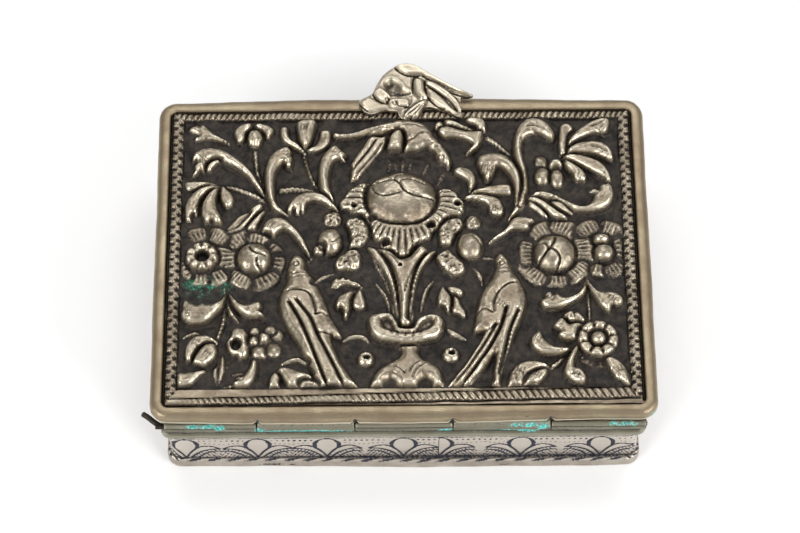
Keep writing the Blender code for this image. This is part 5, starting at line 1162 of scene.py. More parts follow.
def add_lid_frame(sizes):
    """The lid's rounded rim, bowed a little along the hinge and nicked between the knuckles."""
    piece, rings, places, out = add_moulding("lid_rim", CASE_HALF_X, CASE_HALF_Y, LID_CORNER, FRAME_SECTIONS, 0.3)
    front = np.clip((-places[:, 1] - CASE_HALF_Y + 4) / 4, 0, 1)
    bow = sizes.hinge_bow / MM * np.clip(1 - ((places[:, 0] + 8) / 42) ** 2, 0, 1)
    outer = np.clip(1 - (np.array(FRAME_SECTIONS)[rings, 0] / 2.0), 0, 1)
    way = along_loop(places[:, :2], CASE_HALF_X, CASE_HALF_Y)
    wave = 0.05 * np.sin(way / 5.3) + 0.025 * np.sin(way / 2.3 + 2) + 0.015 * np.sin(way / 0.8)
    nick = np.zeros(len(places))
    for place in KNUCKLE_BREAKS:
        nick = np.maximum(nick, np.exp(-((places[:, 0] - place) / 0.22) ** 4))
    low = np.clip((23.4 - places[:, 2]) / 0.8, 0, 1)
    places[:, 1] -= front * outer * (bow - 0.75 * nick * low)
    places[:, 0] += outer * np.where(places[:, 0] > 0, 0.3, -0.2) * np.clip(np.abs(places[:, 0]) - 41, 0, 1)
    back = np.clip((places[:, 1] - CASE_HALF_Y + 4) / 4, 0, 1)
    places[:, 1] += back * outer * (0.3 + sizes.back_bow / MM * np.clip(1 - (places[:, 0] / 42) ** 2, 0, 1))
    places[:, :2] += out[:, :2] * (wave * outer)[:, None]
    places[:, 2] += 0.5 * wave * outer
    write_points(piece, places)
    hollow = np.exp(-((places[:, 2] - 21.7) / 0.25) ** 2) * 0.5 + nick * front * low
    # Painted shade darkens the rim's inner wall above the sheet, less of it at the front right.
    rebate_painted_shade = np.clip(1.2 - np.abs(np.array(FRAME_SECTIONS)[rings, 0] - 2.05) / 0.1, 0, 1)
    hollow += 0.8 * rebate_painted_shade * (1 - front * np.clip((places[:, 0] + 35) / 25, 0, 1))
    scratch = line_away(RIM_SCRATCH, places[:, 0], places[:, 2])
    hollow += front * np.clip(1 - scratch / 0.1, 0, 1)
    mark(piece, "hollow", hollow)
    # A painted highlight runs along the lower bead of the rim.
    mark(piece, "polish_and_highlight", np.exp(-((places[:, 2] - 21.98) / 0.16) ** 2) * outer + 0.15)
    green = np.zeros(len(places))
    for x, z, radius, strength in RIM_VERDIGRIS:
        away = np.hypot(places[:, 0] - x, 1.6 * (places[:, 2] - z)) / radius
        green = np.maximum(green, front * strength * np.exp(-away ** 2))
    mark(piece, "green", green)
    return piece


def add_foot():
    """The plain foot, with a line of fine rope where it meets the wall."""
    piece, rings, places, out = add_moulding("foot", FOOT_HALF_X, FOOT_HALF_Y, 2.6, FOOT_SECTIONS, 0.19)
    way = along_loop(places[:, :2], FOOT_HALF_X, FOOT_HALF_Y)
    inset = np.array(FOOT_SECTIONS)[rings, 0]
    on_rope = np.clip(1 - np.abs(inset - 0.42) / 0.34, 0, 1) * (places[:, 2] > 1.6)
    twist = 0.5 + 0.5 * np.sin(2 * math.pi * (way / 1.05 + 0.9 * inset))
    wave = 0.06 * np.sin(way / 5.1 + 1) + 0.03 * np.sin(way / 1.7)
    places[:, :2] += out[:, :2] * (wave * (inset < 0.9))[:, None]
    places[:, 1] -= 0.5 * np.clip(1 - ((places[:, 0] - 14) / 40) ** 2, 0, 1) * (places[:, 1] < -20) * (inset < 0.9)
    places[:, 2] += (0.26 * twist - 0.1) * on_rope
    write_points(piece, places)
    hollow = on_rope ** 0.5 * (1 - twist) * 0.9 + np.exp(-((inset - 0.86) / 0.1) ** 2) * 0.8
    for place, reach, level in FOOT_MARKS:
        away = np.abs(places[:, 0] - place) / reach
        hollow += 0.9 * np.exp(-away ** 4 - ((places[:, 2] - level) / 0.35) ** 2) * (places[:, 1] < 0) * (inset < 0.3)
    mark(piece, "hollow", hollow)
    mark(piece, "polish_and_highlight", on_rope * twist * 0.8)
    return piece


def add_rim_moulding():
    """The moulding round the mouth of the box: a bead below and a neck that carries the hinge."""
    piece, rings, places, out = add_moulding("mouth_moulding", CASE_HALF_X, CASE_HALF_Y, 3.0, MOUTH_SECTIONS, 0.4)
    way = along_loop(places[:, :2], CASE_HALF_X, CASE_HALF_Y)
    inset = np.array(MOUTH_SECTIONS)[rings, 0]
    wave = 0.035 * np.sin(way / 3.7) + 0.02 * np.sin(way / 1.1)
    places[:, :2] += out[:, :2] * (wave * (inset < 1.9))[:, None]
    write_points(piece, places)
    cove = np.clip((places[:, 2] - 14.05) / 0.3, 0, 1)
    drip = np.exp(-(np.abs(places[:, 0] - 22.3) / 2.0) ** 3 - ((places[:, 2] - 14.9) / 0.7) ** 2)
    line = np.exp(-(np.abs(places[:, 0] + 18) / 9.0) ** 6 - ((places[:, 2] - 15.2) / 0.5) ** 2)
    drip = np.maximum(drip, 0.6 * line)
    mark(piece, "green", 1.8 * drip * (places[:, 1] < 0))
    # Painted shade darkens the neck above the bead, under the lid and hinge, most on the hinge side.
    painted_shade_under_lid = cove * np.clip(0.5 - places[:, 1] / 60, 0.3, 0.72)
    mark(piece, "hollow", painted_shade_under_lid + np.exp(-((places[:, 2] - 12.7) / 0.14) ** 2) * 0.6)
    mark(piece, "polish_and_highlight", np.exp(-((places[:, 2] - 13.5) / 0.45) ** 2) * 0.7)
    return piece


def line_away(rows, x, y):
    """Distance of places from an open line, less the line's own half width in its third column."""
    rows = smooth_line(rows)
    best = np.full(x.shape, np.inf)
    for (x0, y0, w0), (x1, y1, w1) in zip(rows[:-1], rows[1:]):
        along, away = nearest_on(x, y, x0, y0, x1, y1)
        best = np.minimum(best, away - w0 - (w1 - w0) * along)
    return best


def engraved_depth(way, z):
    """Depth share of the wall's engraving: a row of arches with a leaf to each side."""
    middles = np.array(PALMETTES)
    away = np.abs(way[:, None] - middles[None]) + 99 * ((way[:, None] < WALL_SEAM) != (middles[None] < WALL_SEAM))
    q = np.minimum(away.min(1), 7.0)
    cut = np.zeros(len(way))
    for rows in ENGRAVED_LINES:
        cut = np.maximum(cut, np.clip(0.5 - (line_away(rows, q, z) - 0.08) / 0.14, 0, 1))
    shade = inside_line(np.array(ENGRAVED_SHADE + ENGRAVED_SHADE[:1], float), q, z)
    stroke = np.sin(2 * math.pi * (q + 0.55 * z) / 0.75) + 0.5 * np.sin(2 * math.pi * (way / 1.9 + z / 1.3))
    cut = np.maximum(cut, shade * np.clip(0.15 + 0.5 * stroke, 0, 0.62))
    big = np.clip(0.5 - (np.hypot((way % 1.02) - 0.51, (z - 9.35) / 1.2) - 0.22) / 0.12, 0, 1)
    big = big * (q > 2.5) * (0.7 + 0.3 * np.sin(way / 1.7))
    small = np.clip(0.5 - (np.hypot((way % 0.85) - 0.42, (z - 8.1 - 0.2 * np.sin(way)) / 0.8) - 0.17) / 0.12, 0, 1)
    small = 0.7 * small * (q > 2.9)
    lines = np.exp(-((z - 2.55) / 0.12) ** 2) + np.exp(-((z - 10.3) / 0.1) ** 2)
    lines = lines + 0.6 * np.exp(-((z - 11.6) / 0.16) ** 2)
    return np.clip(np.maximum(np.maximum(cut, big), np.maximum(small, lines)), 0, 1)


def add_engraved_wall(sizes):
    """The engraved strip of the wall, bent round the box with its seam on the hinge side."""
    corner, half_x, half_y = WALL_CORNER, WALL_HALF_X, WALL_HALF_Y
    straight_x, straight_y, arc = 2 * (half_x - corner), 2 * (half_y - corner), math.pi / 2 * corner
    length = 2 * (straight_x + straight_y) + 4 * arc
    gap = WALL_SEAM_GAP
    piece = add_grid("engraved_wall", int(length / WALL_CELL), len(WALL_ROWS) - 1, 0, 0, 1, 1)
    places = read_points(piece)
    row = np.rint(places[:, 1] * (len(WALL_ROWS) - 1)).astype(int)
    z = np.array(WALL_ROWS)[row]
    way = WALL_SEAM + gap / 2 + places[:, 0] * (length - gap)
    turned = np.where(way > length / 2, way - length, way)
    side = np.abs(turned) < straight_x / 2 + arc
    local = np.where(side, turned, PALMETTES[0] + ((way + 3) % 13.6) - 6.8)
    depth = engraved_depth(local, z)
    scratch = unevenness((len(WALL_ROWS), int(length / WALL_CELL) + 1), 3, 8).ravel()
    flat = np.column_stack([way, z, -sizes.engraving_depth / MM * depth + 0.02 * scratch])
    write_points(piece, flat)
    mark(piece, "hollow", depth)
    mark(piece, "polish_and_highlight", np.clip(0.75 - depth, 0, 1))
    turn_edges_down(piece, -WALL_THICKNESS)
    bpy.ops.mesh.edge_face_add()
    bpy.ops.mesh.quads_convert_to_tris(quad_method="BEAUTY", ngon_method="BEAUTY")
    end_edit()
    write_points(piece, bent_round(read_points(piece), half_x, half_y, corner))
    return piece


def bent_round(flat, half_x, half_y, corner):
    """Rows of way round, height and distance outward, laid round a rounded rectangle."""
    straight_x, straight_y, arc = 2 * (half_x - corner), 2 * (half_y - corner), math.pi / 2 * corner
    length = 2 * (straight_x + straight_y) + 4 * arc
    way = (flat[:, 0] + straight_x / 2) % length
    places = np.empty_like(flat)
    places[:, 2] = flat[:, 1]
    turn = 0.0
    start = 0.0
    x, y = -straight_x / 2, -half_y
    for run in (straight_x, straight_y, straight_x, straight_y):
        along = np.array([math.cos(turn), math.sin(turn)])
        out = np.array([along[1], -along[0]])
        here = (way >= start) & (way <= start + run)
        places[here, :2] = (x, y) + (way[here] - start)[:, None] * along + flat[here, 2:3] * out
        x, y = np.array([x, y]) + run * along
        centre = np.array([x, y]) - corner * out
        here = (way > start + run) & (way < start + run + arc)
        angle = (way[here] - start - run) / corner + turn - math.pi / 2
        places[here, :2] = centre + (corner + flat[here, 2:3]) * np.column_stack([np.cos(angle), np.sin(angle)])
        turn += math.pi / 2
        start += run + arc
        x, y = centre + corner * np.array([math.cos(turn - math.pi / 2), math.sin(turn - math.pi / 2)])
    return places


def add_knuckles(sizes, finish):
    """The five rolled knuckles of the hinge, each with its seam and its fillet of solder."""
    pitch = BARREL_LENGTH / len(KNUCKLES)
    half_gap = sizes.knuckle_gap / MM / 2
    count = len(KNUCKLE_SECTIONS)
    for number, node in enumerate(KNUCKLES):
        start_x = (number - 2.5) * pitch + (1.0 if number == 0 else half_gap)
        stop_x = (number - 1.5) * pitch - (0.5 if number == 4 else half_gap)
        middle, half = (start_x + stop_x) / 2, (stop_x - start_x) / 2
        piece, rings, start = add_rings(node.replace("knuckle", "barrel"), 48, count)
        share, radius = np.array(KNUCKLE_SECTIONS)[rings].T
        angle = np.arctan2(start[:, 1], start[:, 0])
        x = middle + half * share
        on_lid = number % 2 == 1
        toward = math.radians(68 if on_lid else -52)
        lean = np.cos(angle - toward)
        fillet = (0.9 * np.clip(lean - 0.55, 0, 1) if on_lid else 1.7 * np.clip(lean - 0.78, 0, 1)) * (radius > 0.9)
        dent = 0.03 * np.sin(x / 2.1 + number) + 0.02 * np.sin(x / 0.7 + 2 * number)
        seam = np.exp(-((np.angle(np.exp(1j * (angle - math.radians(200 if on_lid else 150))))) / 0.09) ** 2)
        reach = radius + fillet + (dent - 0.12 * seam) * (radius > 0.9)
        places = np.column_stack([x, AXIS_Y + reach * np.cos(angle), AXIS_Z + reach * np.sin(angle)])
        write_points(piece, places)
        close_rings(piece, rings, count)
        # Painted shade darkens the lower front of each knuckle.
        under = np.exp(-((np.angle(np.exp(1j * (angle - math.radians(212))))) / 0.2) ** 2)
        mark(piece, "hollow", seam * 0.9 + np.clip(np.abs(share) - 0.985, 0, 1) * 40 + 0.35 * (fillet > 0.02)
             + 0.9 * under)
        # A painted highlight lightens the top of each knuckle.
        mark(piece, "polish_and_highlight", np.clip(np.sin(angle), 0, 1) * 0.5 + 0.1)
        green = np.zeros(len(x))
        ragged = 0.75 + 0.2 * np.sin(2.3 * x + 3 * angle) + 0.15 * np.sin(5.1 * x - 2 * angle)
        for spot, size, strength, level in BARREL_VERDIGRIS:
            round_it = np.angle(np.exp(1j * (angle - math.radians(level))))
            patch = np.exp(-(np.abs(x - spot) / size) ** 4 - (round_it / 0.5) ** 2)
            green = np.maximum(green, strength * patch * ragged)
        mark(piece, "green", green)
        finish_piece(piece, [node], "lid" if on_lid else "box", finish, 40)


def add_hinge_wire(sizes):
    """The blackened wire through the knuckles, its tail bent back."""
    path = smooth_line([(BARREL_LENGTH / 2 - 0.4, AXIS_Y, AXIS_Z), (20, AXIS_Y, AXIS_Z), (-20, AXIS_Y, AXIS_Z),
                        (-42.3, AXIS_Y, AXIS_Z), (-43.1, AXIS_Y + 0.1, AXIS_Z), (-43.9, AXIS_Y + 0.5, AXIS_Z),
                        (-44.7, AXIS_Y + 1.1, AXIS_Z), (-45.5, AXIS_Y + 1.8, AXIS_Z), (-46.5, AXIS_Y + 2.5, AXIS_Z)])
    radius = sizes.wire_thickness / 2 / MM
    count = len(path) + 4
    piece, rings, start = add_rings("hinge_wire", 20, count)
    spine = np.concatenate([path[:1], path[:1], path, path[-1:], path[-1:]])
    thick = radius * np.concatenate([[0.02, 0.75], np.ones(len(path)), [0.75, 0.02]])
    step = np.gradient(path, axis=0)
    step = np.concatenate([step[:1], step[:1], step, step[-1:], step[-1:]])
    spine[0] -= 0.12 * step[0] / np.linalg.norm(step[0])
    spine[1] -= 0.1 * step[0] / np.linalg.norm(step[0])
    spine[-2] += 0.1 * step[-1] / np.linalg.norm(step[-1])
    spine[-1] += 0.12 * step[-1] / np.linalg.norm(step[-1])
    step /= np.linalg.norm(step, axis=1)[:, None]
    side = np.column_stack([-step[:, 1], step[:, 0], np.zeros(count)])
    lift = np.cross(step, side)
    places = spine[rings] + thick[rings, None] * (start[:, :1] * side[rings] + start[:, 1:2] * lift[rings])
    write_points(piece, places)
    for ring in (0, count - 1):
        pick(piece, "edges", np.all(rings[edge_ends(piece)] == ring, axis=1))
        bpy.ops.mesh.edge_face_add()
        end_edit()
    return piece


def on_thumb(rows):
    """Shares of the thumb piece's box as places in millimetres; further columns are millimetres."""
    rows = np.array(rows, float)
    rows[:, 0] = (THUMB_LOW.x + rows[:, 0] * (THUMB_HIGH.x - THUMB_LOW.x)) / MM
    rows[:, 1] = (THUMB_LOW.y + rows[:, 1] * (THUMB_HIGH.y - THUMB_LOW.y)) / MM
    rows[:, 1] += 0.55 * np.clip(rows[:, 1] - THUMB_LOW.y / MM, 0, None) / (THUMB_HIGH.y - THUMB_LOW.y) * MM
    return rows


def add_thumb_piece(sizes):
    """The bird soldered on the rim, its head curled down to its breast."""
    low, high = THUMB_LOW / MM, THUMB_HIGH / MM
    width, depth = high.x - low.x, high.y - low.y + 1.2
    across, deep = int(width / THUMB_CELL), int(depth / THUMB_CELL)
    work = Embossing(low.x, low.y - 0.5, width, depth, across, deep)
    piece = add_grid("bird_thumb_piece", across, deep, low.x, low.y - 0.5, width, depth)
    for top, edge, rows in THUMB_PADS:
        work.cushion(smooth_line(on_thumb(rows), True), top, edge)
    pit = smooth_line(on_thumb(THUMB_PIT), True)
    x, y = np.meshgrid(work.x, work.y)
    flat_x, flat_y = x.ravel(), y.ravel()
    inside, away = closed_inside(pit, flat_x, flat_y)
    sunk = np.where(inside, np.clip(away / 0.9, 0, 1), 0).reshape(x.shape)
    lip = np.exp(-(np.where(inside, 0.4 * away, away) / 0.45) ** 2).reshape(x.shape)
    work.height += 0.28 * lip * np.clip((x - low.x) / 9, 0, 1) - 1.5 * blurred(sunk, 2.0)
    work.height = blurred(work.height, 0.12 / work.cell)
    for half_width, depth, rows in THUMB_LINES:
        line = smooth_line(on_thumb(rows))
        part, _, _, away, _ = work.round_line(line, 3 * half_width)
        work.height[part] -= depth * np.exp(-(away.min(0) / half_width) ** 2)
    for u, v, radius in THUMB_RINGS:
        eye = on_thumb([(u, v)])[0]
        work.height += 0.22 * np.exp(-(np.hypot(x - eye[0], y - eye[1]) / (radius * 0.8)) ** 4)
        work.ring(*eye, radius)
    height, cell = work.height, work.cell
    fine = unevenness(height.shape, 0.18 / cell, 11)
    height = height + 0.012 * fine + 0.03 * unevenness(height.shape, 1.0 / cell, 12)
    sunk = blurred(height, 0.9 / cell) - height
    near = blurred(height, 0.25 / cell) - height
    places = read_points(piece)
    base = low.z + sizes.thumb_thickness / MM
    places[:, 2] = np.clip(base + height.ravel(), low.z + 0.25, high.z)
    write_points(piece, places)
    claw = on_thumb([(0.405, 0.11)])[0]
    grime = 0.45 * np.exp(-((x - claw[0]) / 1.3) ** 2 - ((y - claw[1]) / 1.7) ** 2)
    mark(piece, "hollow", np.clip(sunk / 0.7, 0, 1) * 0.6 + np.clip(near / 0.18, 0, 1) * 0.55 + grime)
    mark(piece, "polish_and_highlight", np.clip(-near / 0.1, 0, 1) * 0.7 + 0.35)
    outline = smooth_line(on_thumb(THUMB_OUTLINE), True)
    middles = face_middles(piece)
    pick(piece, "polygons", ~inside_line(outline, middles[:, 0], middles[:, 1]))
    bpy.ops.mesh.delete(type="FACE")
    end_edit()
    border = np.zeros(len(piece.data.vertices), bool)
    border[edge_ends(piece)[edge_faces(piece) == 1].ravel()] = True
    places = read_points(piece)
    places[border] = drawn_to(outline, places[border])
    write_points(piece, places)
    turn_edges_down(piece, low.z + 0.2)
    bpy.ops.mesh.extrude_edges_move()
    end_edit()
    lower = chosen_points(piece)
    places = read_points(piece)
    centre = np.array([(low.x + high.x) / 2, (low.y + high.y) / 2])
    places[lower, :2] = centre + (places[lower, :2] - centre) * 0.985
    places[lower, 2] = low.z + 0.02
    write_points(piece, places)
    begin_edit(piece)
    bpy.ops.mesh.edge_face_add()
    bpy.ops.mesh.quads_convert_to_tris(quad_method="BEAUTY", ngon_method="BEAUTY")
    end_edit()
    return piece


def drawn_to(line, places):
    """Places moved sideways onto the nearest point of a line."""
    moved = places.copy()
    best = np.full(len(places), np.inf)
    for (x0, y0), (x1, y1) in zip(line[:-1, :2], line[1:, :2]):
        along, away = nearest_on(places[:, 0], places[:, 1], x0, y0, x1, y1)
        closer = away < best
        best[closer] = away[closer]
        moved[closer, 0], moved[closer, 1] = (x0 + along * (x1 - x0))[closer], (y0 + along * (y1 - y0))[closer]
    return moved


def add_node(tree, kind, inputs=None, **settings):
    """Add a shader node with its settings, its plain values and its links."""
    node = tree.nodes.new(kind)
    for name, value in settings.items():
        setattr(node, name, value)
    for socket, value in (inputs or {}).items():
        if isinstance(value, bpy.types.NodeSocket):
            tree.links.new(value, node.inputs[socket])
        else:
            node.inputs[socket].default_value = value
    return node


def new_finish(name):
    """An empty material with its output and surface shader."""
    material = bpy.data.materials.new(name)
    material.use_nodes = True
    tree = material.node_tree
    tree.nodes.clear()
    output = tree.nodes.new("ShaderNodeOutputMaterial")
    surface = tree.nodes.new("ShaderNodeBsdfPrincipled")
    tree.links.new(surface.outputs["BSDF"], output.inputs["Surface"])
    return material, tree, surface


def silver_finish(name, look):
    """Silver with dirt in its hollows, and on some pieces painted shade; worn bright on its edges, with painted
    highlights on some pieces; green where water stood.
    """
    material, tree, surface = new_finish(name)
    places = add_node(tree, "ShaderNodeTexCoord").outputs["Object"]
    hollow = add_node(tree, "ShaderNodeAttribute", attribute_name="hollow").outputs["Fac"]
    polish_and_highlight = add_node(tree, "ShaderNodeAttribute", attribute_name="polish_and_highlight").outputs["Fac"]
    green = add_node(tree, "ShaderNodeAttribute", attribute_name="green").outputs["Fac"]
    clouds = add_node(tree, "ShaderNodeTexNoise", {"Vector": places, "Scale": 190.0, "Detail": 4.0,
                                                   "Roughness": 0.6}).outputs["Fac"]
    grain = add_node(tree, "ShaderNodeTexNoise", {"Vector": places, "Scale": 2600.0, "Detail": 3.0,
                                                  "Roughness": 0.65}).outputs["Fac"]
    long_way = add_node(tree, "ShaderNodeMapping", {"Vector": places, "Rotation": (0.3, 0.2, 0.5),
                                                    "Scale": (1.0, 14.0, 6.0)}).outputs["Vector"]
    scratches = add_node(tree, "ShaderNodeTexNoise", {"Vector": long_way, "Scale": 420.0, "Detail": 2.0,
                                                      "Roughness": 0.5}).outputs["Fac"]
    patches = add_node(tree, "ShaderNodeMapRange", {"Value": clouds, "From Min": 0.34, "From Max": 0.66,
                                                    "To Min": 0.0, "To Max": look["patchy"]}).outputs["Result"]
    tone = add_node(tree, "ShaderNodeMix", {"Factor": patches, "A": linear(look["silver"]),
                                            "B": linear(look["tarnish"])}, data_type="RGBA")
    # The polish attribute brightens worn edges, and on some pieces it also paints highlights.
    worn = add_node(tree, "ShaderNodeMix", {"Factor": polish_and_highlight, "A": tone.outputs["Result"],
                                            "B": linear(look["bright"])}, data_type="RGBA")
    speck = add_node(tree, "ShaderNodeMapRange", {"Value": grain, "From Min": 0.36, "From Max": 0.64,
                                                  "To Min": -0.22, "To Max": 0.22}).outputs["Result"]
    # The hollow attribute darkens dirty hollows, and on some pieces it also paints shade.
    dirt_and_shade_sum = add_node(tree, "ShaderNodeMath", {0: hollow, 1: speck}, operation="ADD").outputs["Value"]
    dirt_and_shade = add_node(tree, "ShaderNodeMapRange", {"Value": dirt_and_shade_sum, "From Min": look["dirt_and_shade_from"],
                                                 "From Max": look["dirt_and_shade_to"]},
                    interpolation_type="SMOOTHSTEP").outputs["Result"]
    dusty = add_node(tree, "ShaderNodeTexNoise", {"Vector": places, "Scale": 620.0, "Detail": 4.0,
                                                  "Roughness": 0.7}).outputs["Fac"]
    dusty = add_node(tree, "ShaderNodeMapRange", {"Value": dusty, "From Min": 0.38,
                                                  "From Max": 0.68}).outputs["Result"]
    dirt_and_shade_tone = add_node(tree, "ShaderNodeMix", {"Factor": dusty, "A": linear(look["dirt_and_shade"]),
                                                 "B": linear(look["dust"])}, data_type="RGBA")
    soiled_and_shaded = add_node(tree, "ShaderNodeMix", {"Factor": dirt_and_shade, "A": worn.outputs["Result"],
                                              "B": dirt_and_shade_tone.outputs["Result"]}, data_type="RGBA")
    spotty = add_node(tree, "ShaderNodeMath", {0: green, 1: speck}, operation="ADD").outputs["Value"]
    crust = add_node(tree, "ShaderNodeMapRange", {"Value": spotty, "From Min": 0.3, "From Max": look["crust_full"]},
                     interpolation_type="SMOOTHSTEP").outputs["Result"]
    crusty = add_node(tree, "ShaderNodeMapRange", {"Value": grain, "From Min": 0.46,
                                                   "From Max": 0.62}).outputs["Result"]
    crust_tone = add_node(tree, "ShaderNodeMix", {"Factor": crusty, "A": linear(look["crust"]),
                                                  "B": linear(look["crust_light"])}, data_type="RGBA")
    colour = add_node(tree, "ShaderNodeMix", {"Factor": crust, "A": soiled_and_shaded.outputs["Result"],
                                              "B": crust_tone.outputs["Result"]}, data_type="RGBA")
    tree.links.new(colour.outputs["Result"], surface.inputs["Base Color"])
    covered = add_node(tree, "ShaderNodeMath", {0: dirt_and_shade, 1: look["dirt_and_shade_cover"]}, operation="MULTIPLY")
    covered = add_node(tree, "ShaderNodeMath", {0: covered.outputs["Value"], 1: crust}, operation="MAXIMUM")
    metal = add_node(tree, "ShaderNodeMath", {0: 1.0, 1: covered.outputs["Value"]}, operation="SUBTRACT")
    tree.links.new(metal.outputs["Value"], surface.inputs["Metallic"])
    rough = add_node(tree, "ShaderNodeMapRange", {"Value": polish_and_highlight, "From Min": 0.0, "From Max": 1.0,
                                                  "To Min": look["rough"], "To Max": look["rough"] * 0.72})
    rough = add_node(tree, "ShaderNodeMix", {"Factor": patches, "A": rough.outputs["Result"],
                                             "B": look["rough"] + 0.1}, data_type="FLOAT")
    rough = add_node(tree, "ShaderNodeMix", {"Factor": covered.outputs["Value"], "A": rough.outputs["Result"],
                                             "B": 0.75}, data_type="FLOAT")
    tree.links.new(rough.outputs["Result"], surface.inputs["Roughness"])
    relief = add_node(tree, "ShaderNodeMath", {0: grain, 1: scratches}, operation="ADD")
    bump = add_node(tree, "ShaderNodeBump", {"Height": relief.outputs["Value"], "Strength": look["bump"],
                                             "Distance": 0.00012})
    tree.links.new(bump.outputs["Normal"], surface.inputs["Normal"])
    return material


def hex_code(colour):
    """A property's colour as an sRGB hex code."""
    levels = [12.92 * c if c < 0.0031308 else 1.055 * c ** (1 / 2.4) - 0.055 for c in colour[:3]]
    return "#" + "".join(f"{round(255 * level):02x}" for level in levels)


def embossed_silver(colours):
    """Silver sheet worked from behind and chased: grey-brown tops, their highest parts burnished and painted brighter
    as a highlight, bright rubbed edges, black ground.
    """
    return silver_finish("embossed_aged_silver", dict(
        silver=hex_code(colours.silver), tarnish="#6b5e50", bright="#cbc1ad", dirt_and_shade="#171412", dust="#40372f",
        patchy=0.9, dirt_and_shade_from=0.25, dirt_and_shade_to=0.8, dirt_and_shade_cover=0.5, rough=0.34, bump=0.4, crust="#15453a",
        crust_light="#379a77", crust_full=1.3))


def drawn_silver():
    """Silver strip drawn and filed to a moulding: dull, brown where dirt sits, with painted shade on its rebate and a
    painted highlight along its lip.
    """
    return silver_finish("drawn_aged_silver", dict(
        silver="#8a7c62", tarnish="#6d5942", bright="#d9cfb9", dirt_and_shade="#241f1b", dust="#4e4134",
        patchy=0.9, dirt_and_shade_from=0.35, dirt_and_shade_to=0.9, dirt_and_shade_cover=0.6, rough=0.38, bump=0.4, crust="#2c8a86",
        crust_light="#7ccbc2", crust_full=1.1))


def hinge_silver():
    """Silver drawn into tube and handled little: dull grey-green, with painted shade under the lid and under the
    knuckles, and a painted highlight along the knuckles' tops.
    """
    return silver_finish("hinge_silver_with_painted_shade_and_highlight", dict(
        silver="#757566", tarnish="#565145", bright="#a8a390", dirt_and_shade="#231e19", dust="#4a3f33",
        patchy=0.9, dirt_and_shade_from=0.25, dirt_and_shade_to=0.85, dirt_and_shade_cover=0.6, rough=0.42, bump=0.4, crust="#2c8a86",
        crust_light="#7ccbc2", crust_full=0.85))


def engraved_silver(colours):
    """Silver strip cut with a graver and rubbed clean: pale, with blue-black dirt in the cuts."""
    return silver_finish("engraved_pale_silver", dict(
        silver=hex_code(colours.engraved), tarnish="#978c80", bright="#d6cec4", dirt_and_shade="#181b28", dust="#2b2d38",
        patchy=0.8, dirt_and_shade_from=0.22, dirt_and_shade_to=0.55, dirt_and_shade_cover=0.8, rough=0.42, bump=0.3, crust="#2c8a86",
        crust_light="#7ccbc2", crust_full=1.1))


def inside_silver():
    """Silver sheet left as it was rolled: dull and even, a little brown."""
    return silver_finish("rolled_inside_silver", dict(
        silver="#9d917d", tarnish="#85796a", bright="#c9bca6", dirt_and_shade="#3a332b", dust="#544a3d",
        patchy=0.8, dirt_and_shade_from=0.4, dirt_and_shade_to=0.9, dirt_and_shade_cover=0.5, rough=0.45, bump=0.3, crust="#2c8a86",
        crust_light="#7ccbc2", crust_full=1.1))


def blackened_wire(colours):
    """Iron wire blackened by fire and handling: nearly black, with a soft sheen."""
    material, tree, surface = new_finish("blackened_wire")
    places = add_node(tree, "ShaderNodeTexCoord").outputs["Object"]
    spots = add_node(tree, "ShaderNodeTexNoise", {"Vector": places, "Scale": 900.0, "Detail": 3.0}).outputs["Fac"]
    tone = add_node(tree, "ShaderNodeMix", {"Factor": spots, "A": linear(hex_code(colours.wire)),
                                            "B": linear("#3b3229")}, data_type="RGBA")
    tree.links.new(tone.outputs["Result"], surface.inputs["Base Color"])
    surface.inputs["Metallic"].default_value = 0.7
    surface.inputs["Roughness"].default_value = 0.5
    return material


class CaseSizes(bpy.types.PropertyGroup):
    """Sizes of the worked silver."""

    relief_height: FloatProperty(name="Relief height", description="How far the picture stands above its ground",
                                 default=0.0036, min=0.0005, max=0.0038, unit="LENGTH", precision=5)
    hinge_bow: FloatProperty(name="Hinge side bow", description="How far the rim is bowed along the hinge",
                             default=0.0005, min=0.0, max=0.001, unit="LENGTH", precision=5)
    back_bow: FloatProperty(name="Back bow", description="How far the rim bows out at the back",
                             default=0.0007, min=0.0, max=0.001, unit="LENGTH", precision=5)
    engraving_depth: FloatProperty(name="Engraving depth", description="Depth of the cuts in the wall",
                                   default=0.00014, min=0.0, max=0.0004, unit="LENGTH", precision=5)
    knuckle_gap: FloatProperty(name="Knuckle gap", description="Gap between two knuckles of the hinge",
                               default=0.00022, min=0.00005, max=0.001, unit="LENGTH", precision=5)
    wire_thickness: FloatProperty(name="Wire thickness", description="Diameter of the hinge wire",
                                  default=0.001, min=0.0004, max=0.0013, unit="LENGTH", precision=5)
    thumb_thickness: FloatProperty(name="Thumb piece thickness", description="Thickness of the bird's plate",
                                   default=0.0008, min=0.0005, max=0.0015, unit="LENGTH", precision=5)


class CaseColours(bpy.types.PropertyGroup):
    """Colours of the aged silver and of what it stands on."""

    silver: FloatVectorProperty(name="Embossed silver", description="Tops of the embossed work", subtype="COLOR",
                                size=4, min=0, max=1, default=linear("#8f8472"))
    engraved: FloatVectorProperty(name="Engraved silver", description="The engraved wall", subtype="COLOR",
                                  size=4, min=0, max=1, default=linear("#bdb5aa"))
    wire: FloatVectorProperty(name="Hinge wire", description="Blackened wire of the hinge", subtype="COLOR",
                              size=4, min=0, max=1, default=linear("#1b1917"))
    floor: FloatVectorProperty(name="Floor", description="The floor under the case", subtype="COLOR",
                               size=4, min=0, max=1, default=linear("#f6f6f6"))


